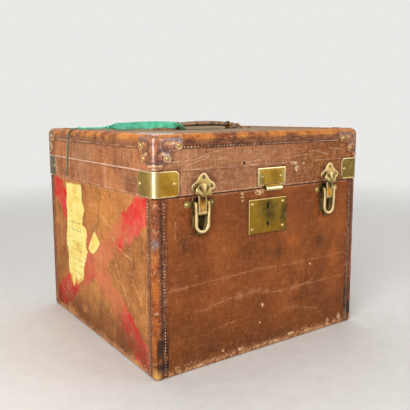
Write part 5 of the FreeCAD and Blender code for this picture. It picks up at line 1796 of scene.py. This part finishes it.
def make_chapes():
    """Plates with squared oval outlines, rolls of leather beside the eyes, and their stitches."""
    low, high = mm_box("handle_chapes")
    half_length = chape_half_length
    half_wide = (high[1] - low[1]) / 2
    tall = high[2] - lid_cover_top
    patches = []
    rows = []
    for side, x in ((-1, low[0] + half_length), (1, high[0] - half_length)):
        angle = circle(96)
        across, forth = squared_oval(angle, 0.42)
        taper = 1 - 0.10 * np.clip(-side * across, 0, 1)
        outline = np.stack([half_length * across, half_wide * forth * taper], axis=-1)
        top = lambda a, b, w: np.stack([x + a, handle_y + b, lid_cover_top + w], axis=-1)
        points, faces, _ = plate_patch(outline, tall, 1.2, top, 0.25)
        near_edge = 1 - np.max(np.abs((points - (x, handle_y, 0)) / (half_length, half_wide, 1e9)), axis=1)
        # Painted highlight along the rim and painted shade in the crease inside it.
        values = {"ridge": bell(near_edge, 0.06), "groove": bell(near_edge - 0.16, 0.05)}
        patches.append((points, faces, values))
        patches.append(fold_patch(x - side * half_length, side, tall))
        ring = np.stack([x + outline[:, 0] * 0.88, handle_y + outline[:, 1] * 0.78,
                         0 * angle + lid_cover_top + tall], axis=-1)
        seat, along = even_steps(ring, 5.0)
        rows.append(stitch_row(seat, along, UP, *handle_stitch))
    place_piece("handle_chapes_leather", build_mesh("chapes", patches), "lid",
                handle_leather, ["handle_chapes"])
    place_piece("chape_stitches", build_mesh("chape_stitches", rows, 80), "lid", thread)


make_grip()
make_chapes()


# %% [markdown]
# ## Ribbon
#
# A green ribbon is looped round the grip's left end, tied in a small knot, twisted and drawn towards the
# left edge, where the string goes over. The loop is one strip: its middle line goes out, dips under the
# grip and comes back, and the strip turns from on edge to flat along it. The knot is a trefoil curve with
# a tube round it, and the twisted run is two strands round a common line.

# %% Ribbon
knot_low, knot_high = mm_box("ribbon_knot")
knot_centre = (knot_low + knot_high) / 2
ribbon_width = 14.0


def path_frames(path):
    """Two directions across a path at each of its points: level, and upwards."""
    along = unit(np.gradient(path, axis=0))
    level = unit(np.cross(along, UP))
    return level, np.cross(level, along)


def smooth_path(points, count):
    """A smooth line through points, evenly walked: cubic pieces whose slopes come from the neighbours."""
    points = np.array(points, dtype=float)
    slopes = np.gradient(points, axis=0)
    at = np.linspace(0, len(points) - 1, 40 * len(points))
    k = np.minimum(at.astype(int), len(points) - 2)
    t = (at - k)[:, None]
    fine = (1 + 2 * t) * (1 - t) ** 2 * points[k] + t * (1 - t) ** 2 * slopes[k]
    fine += t ** 2 * (3 - 2 * t) * points[k + 1] + t ** 2 * (t - 1) * slopes[k + 1]
    whole = walked_length(fine)[-1]
    return points_at(fine, np.linspace(0, whole, count)), whole


def tube_patch(path, radius, sides=14):
    """A round tube along an open path, closing to a point at both ends."""
    level, up = path_frames(path)
    angle = circle(sides)[None, :, None]
    ends = np.sin(np.linspace(0, math.pi, len(path)))
    size = (radius * np.clip(ends * 6, 0, 1) ** 0.5)[:, None, None]
    points = path[:, None] + size * (np.cos(angle) * level[:, None] + np.sin(angle) * up[:, None])
    return grid_patch(points, close_columns=True)


def make_ribbon_loop():
    """A strip along a smooth path: it turns from on edge to flat, and is pleated at the knot."""
    grip_end = handle_low[0]
    route = [knot_centre + (3.5, -1.5, 1.0), knot_centre + (26, -24, 2.8), knot_centre + (60, -58, 4.4),
             (grip_end - 22, handle_y - 16.0, 398.2), (grip_end - 8, handle_y - 16.5, 395.4),
             (grip_end + 2, handle_y - 12.5, 390.6), (grip_end + 5, handle_y - 5, 389.6),
             (grip_end + 5, handle_y + 5, 389.6), (grip_end + 2, handle_y + 12.5, 390.6),
             (grip_end - 8, handle_y + 16.5, 395.4), (grip_end - 22, handle_y + 16.0, 398.2),
             knot_centre + (60, -40, 4.4), knot_centre + (26, -15, 2.8), knot_centre + (3.5, 1.5, 1.0)]
    path, length = smooth_path(route, 220)
    level, up = path_frames(path)
    share = np.linspace(0, 1, len(path))
    turning = math.pi / 2 * np.clip((np.abs(share - 0.5) - 0.042) / 0.07, 0, 1)
    lean = 0.35 * np.sin(share * math.pi * 4) * np.clip((np.abs(share - 0.5) - 0.1) * 8, 0, 1)
    tall = np.sin(turning - lean)[:, None]
    flat = np.cos(turning - lean)[:, None]
    wide_way = up * tall + level * flat
    face_way = level * tall - up * flat
    v = np.linspace(-1, 1, 15)[None, :, None]
    from_knot = np.minimum(share, 1 - share) * length
    gather = np.clip(1 - from_knot / 16, 0, 1)[:, None, None]
    pleats = 1.3 * gather * np.sin(v * math.pi * 2.5)
    ripple = 0.5 * (1 - gather) * np.sin(share * 40)[:, None, None] * v
    half = ribbon_width / 2 * (1 - 0.72 * gather)
    points = path[:, None] + wide_way[:, None] * half * v + face_way[:, None] * (pleats + ripple)
    chape_low, chape_high = mm_box("handle_chapes")
    from_chape = points[..., 0] - chape_low[0] - chape_half_length
    on_chape = (np.abs(from_chape) < chape_half_length + 1) & (points[..., 1] < chape_high[1] + 1)
    on_chape = on_chape & (points[..., 1] > chape_low[1] - 1)
    points[..., 2] = np.maximum(points[..., 2], np.where(on_chape, chape_high[2], lid_cover_top) + 0.9)
    loop = place_piece("ribbon_loop_cloth", build_mesh("ribbon_loop", [grid_patch(points)], 80), "lid",
                       ribbon_cloth, ["ribbon_loop"])
    solid = loop.modifiers.new("cloth", "SOLIDIFY")
    solid.thickness = 0.4 * MM
    solid.offset = 0.0
    return loop, length


def make_ribbon_knot():
    """A trefoil curve with an oval tube round it."""
    turn = circle(120)
    trefoil = np.stack([np.sin(turn) + 2 * np.sin(2 * turn), np.cos(turn) - 2 * np.cos(2 * turn),
                        -np.sin(3 * turn)], axis=-1)
    path = knot_centre + trefoil * (1.15, 1.15, 2.3)
    along = unit(np.roll(path, -1, axis=0) - np.roll(path, 1, axis=0))
    level = unit(np.cross(along, path - knot_centre))
    other = np.cross(along, level)
    angle = circle(12)[None, :, None]
    points = path[:, None] + 1.75 * np.cos(angle) * level[:, None] + 1.15 * np.sin(angle) * other[:, None]
    points[..., 2] = np.maximum(points[..., 2], lid_cover_top + 0.2)
    mesh = build_mesh("ribbon_knot", [grid_patch(points, True, True)], 80)
    return place_piece("ribbon_knot_cloth", mesh, "lid", ribbon_cloth, ["ribbon_knot"])


def make_ribbon_twist():
    """Two strands winding round one sagging line, and a coil at its end."""
    start = knot_centre + (-3.0, 2.7, 0.0)
    end = np.array(string_route[0])
    share = np.linspace(0, 1, 140)[:, None]
    line = start + (end - start) * share
    sag = -0.8 * np.sin(share * math.pi) * UP
    axis = unit(end - start)
    level = unit(np.cross(axis, UP))
    up = np.cross(level, axis)
    patches = []
    for phase in (0.0, math.pi):
        turn = share * 26 + phase
        wide = 1.15 * (1 - 0.35 * np.sin(share * math.pi * 3) ** 2)
        path = line + sag + wide * (np.cos(turn) * level + np.sin(turn) * up)
        patches.append(tube_patch(path, 1.35, 10))
    lump_turn = np.linspace(0, math.tau * 1.6, 60)[:, None]
    coil = np.cos(lump_turn) * level + np.sin(lump_turn) * up
    lump = end + axis * (lump_turn / 10 * 3.4 - 2.4) + 1.7 * coil
    patches.append(tube_patch(lump, 1.3, 10))
    mesh = build_mesh("ribbon_twist", patches, 80)
    return place_piece("ribbon_twist_cloth", mesh, "lid", ribbon_cloth, ["ribbon_twist"])


ribbon_loop, ribbon_length = make_ribbon_loop()
ribbon_knot = make_ribbon_knot()
ribbon_twist = make_ribbon_twist()
print("ribbon loop of", round(ribbon_length, 1), "mm")


# %% [markdown]
# ## Paper labels
#
# Remains of pasted labels stay on the left side: one large torn sheet of yellowed paper and a small
# scrap. A torn outline is a list of corners read along the edge; the sheet is a grid of rays from its
# middle, and fine sines fray the outline. Its ruled lines and boxes are plain, as on any blank luggage
# label.

# %% Labels
label_outline = ((131.5, 281.3), (95, 283.5), (55.8, 284.5), (53.1, 252.6), (42.2, 238), (50, 222),
                 (57, 206), (38, 203), (34, 190), (40.1, 165.5), (32.9, 156.1), (51.5, 124.5), (58, 95),
                 (82, 80), (108.2, 68.9), (122, 80), (132.3, 93.7), (132.1, 135), (141.6, 156.5), (136, 185),
                 (132.1, 213.5), (134.7, 241.8), (131, 262))
scrap_outline = ((-1.4, 202.8), (-14, 196), (-24.5, 183.8), (-8, 168), (8.2, 157.4), (20, 160),
                 (28.2, 165.2), (14, 186))
label_rules = (163, 150, 131, 118, 104)
label_box = ((64, 206), (108, 205), (108, 189), (64, 190))


def make_paper():
    finish = Finish("old_paper", Specular_IOR_Level=0.25)
    age = finish.noise(30, 5)
    spots = finish.noise(170, 4)
    finish.colour = finish.ramp(age, (0.26, (222, 174, 84)), (0.40, (244, 216, 116)),
                                (0.56, (250, 232, 142)), (0.74, (248, 238, 178)))
    finish.lay((170, 98, 48), finish.ease(spots, 0.58, 0.70), 0.7)
    flat = finish.flat(finish.y, finish.z)
    rules = [((60, z), (112, z), 0.9) for z in label_rules]
    sides = zip(label_box, label_box[1:] + label_box[:1], [1.3] * len(label_box))
    printed = finish.times(finish.lines(flat, [*rules, *sides]), finish.clouds(0.36, 0.52, 220, 3))
    finish.lay((74, 62, 50), printed, 0.75)
    rust = finish.times(finish.rise("z", 108, 78), finish.clouds(0.38, 0.55, 50, 4))
    finish.lay((204, 112, 40), rust)
    finish.bump(finish.noise(60, 4), 0.6 * MM)
    return finish.done(finish.ease(age, -1.5, 1.0))


def make_label(name, outline, paper):
    """Rays from the middle of a torn outline, with the outline frayed by sines of its own walk."""
    corners = np.array(outline)
    closed = np.concatenate([corners, corners[:1]])
    at = np.linspace(0, walked_length(closed)[-1], 360, endpoint=False)
    edge = points_at(closed, at)
    middle = edge.mean(axis=0)
    fray = 1 + 0.016 * np.sin(at * 0.55) + 0.013 * np.sin(at * 1.31 + 1) + 0.010 * np.sin(at * 2.3 + 2)
    share = np.array([0, 0.3, 0.6, 0.85, 0.96, 1.0])[:, None, None]
    flat = middle + (edge - middle) * fray[:, None] * share
    lift = 0.25 + 0.35 * np.clip((share[..., 0] - 0.85) / 0.15, 0, 1) * (0.5 + 0.5 * np.sin(at * 0.19))
    front = np.stack(np.broadcast_arrays(-half_width - lift, flat[..., 0], flat[..., 1]), axis=-1)
    back = front + (0.2, 0, 0)
    points = np.concatenate([front, back[::-1]])
    mesh = build_mesh(name, [grid_patch(points, close_columns=True)], 60)
    place_piece(name, mesh, "case", paper)


old_paper = make_paper()
make_label("torn_label", label_outline, old_paper)
make_label("label_scrap", scrap_outline, old_paper)
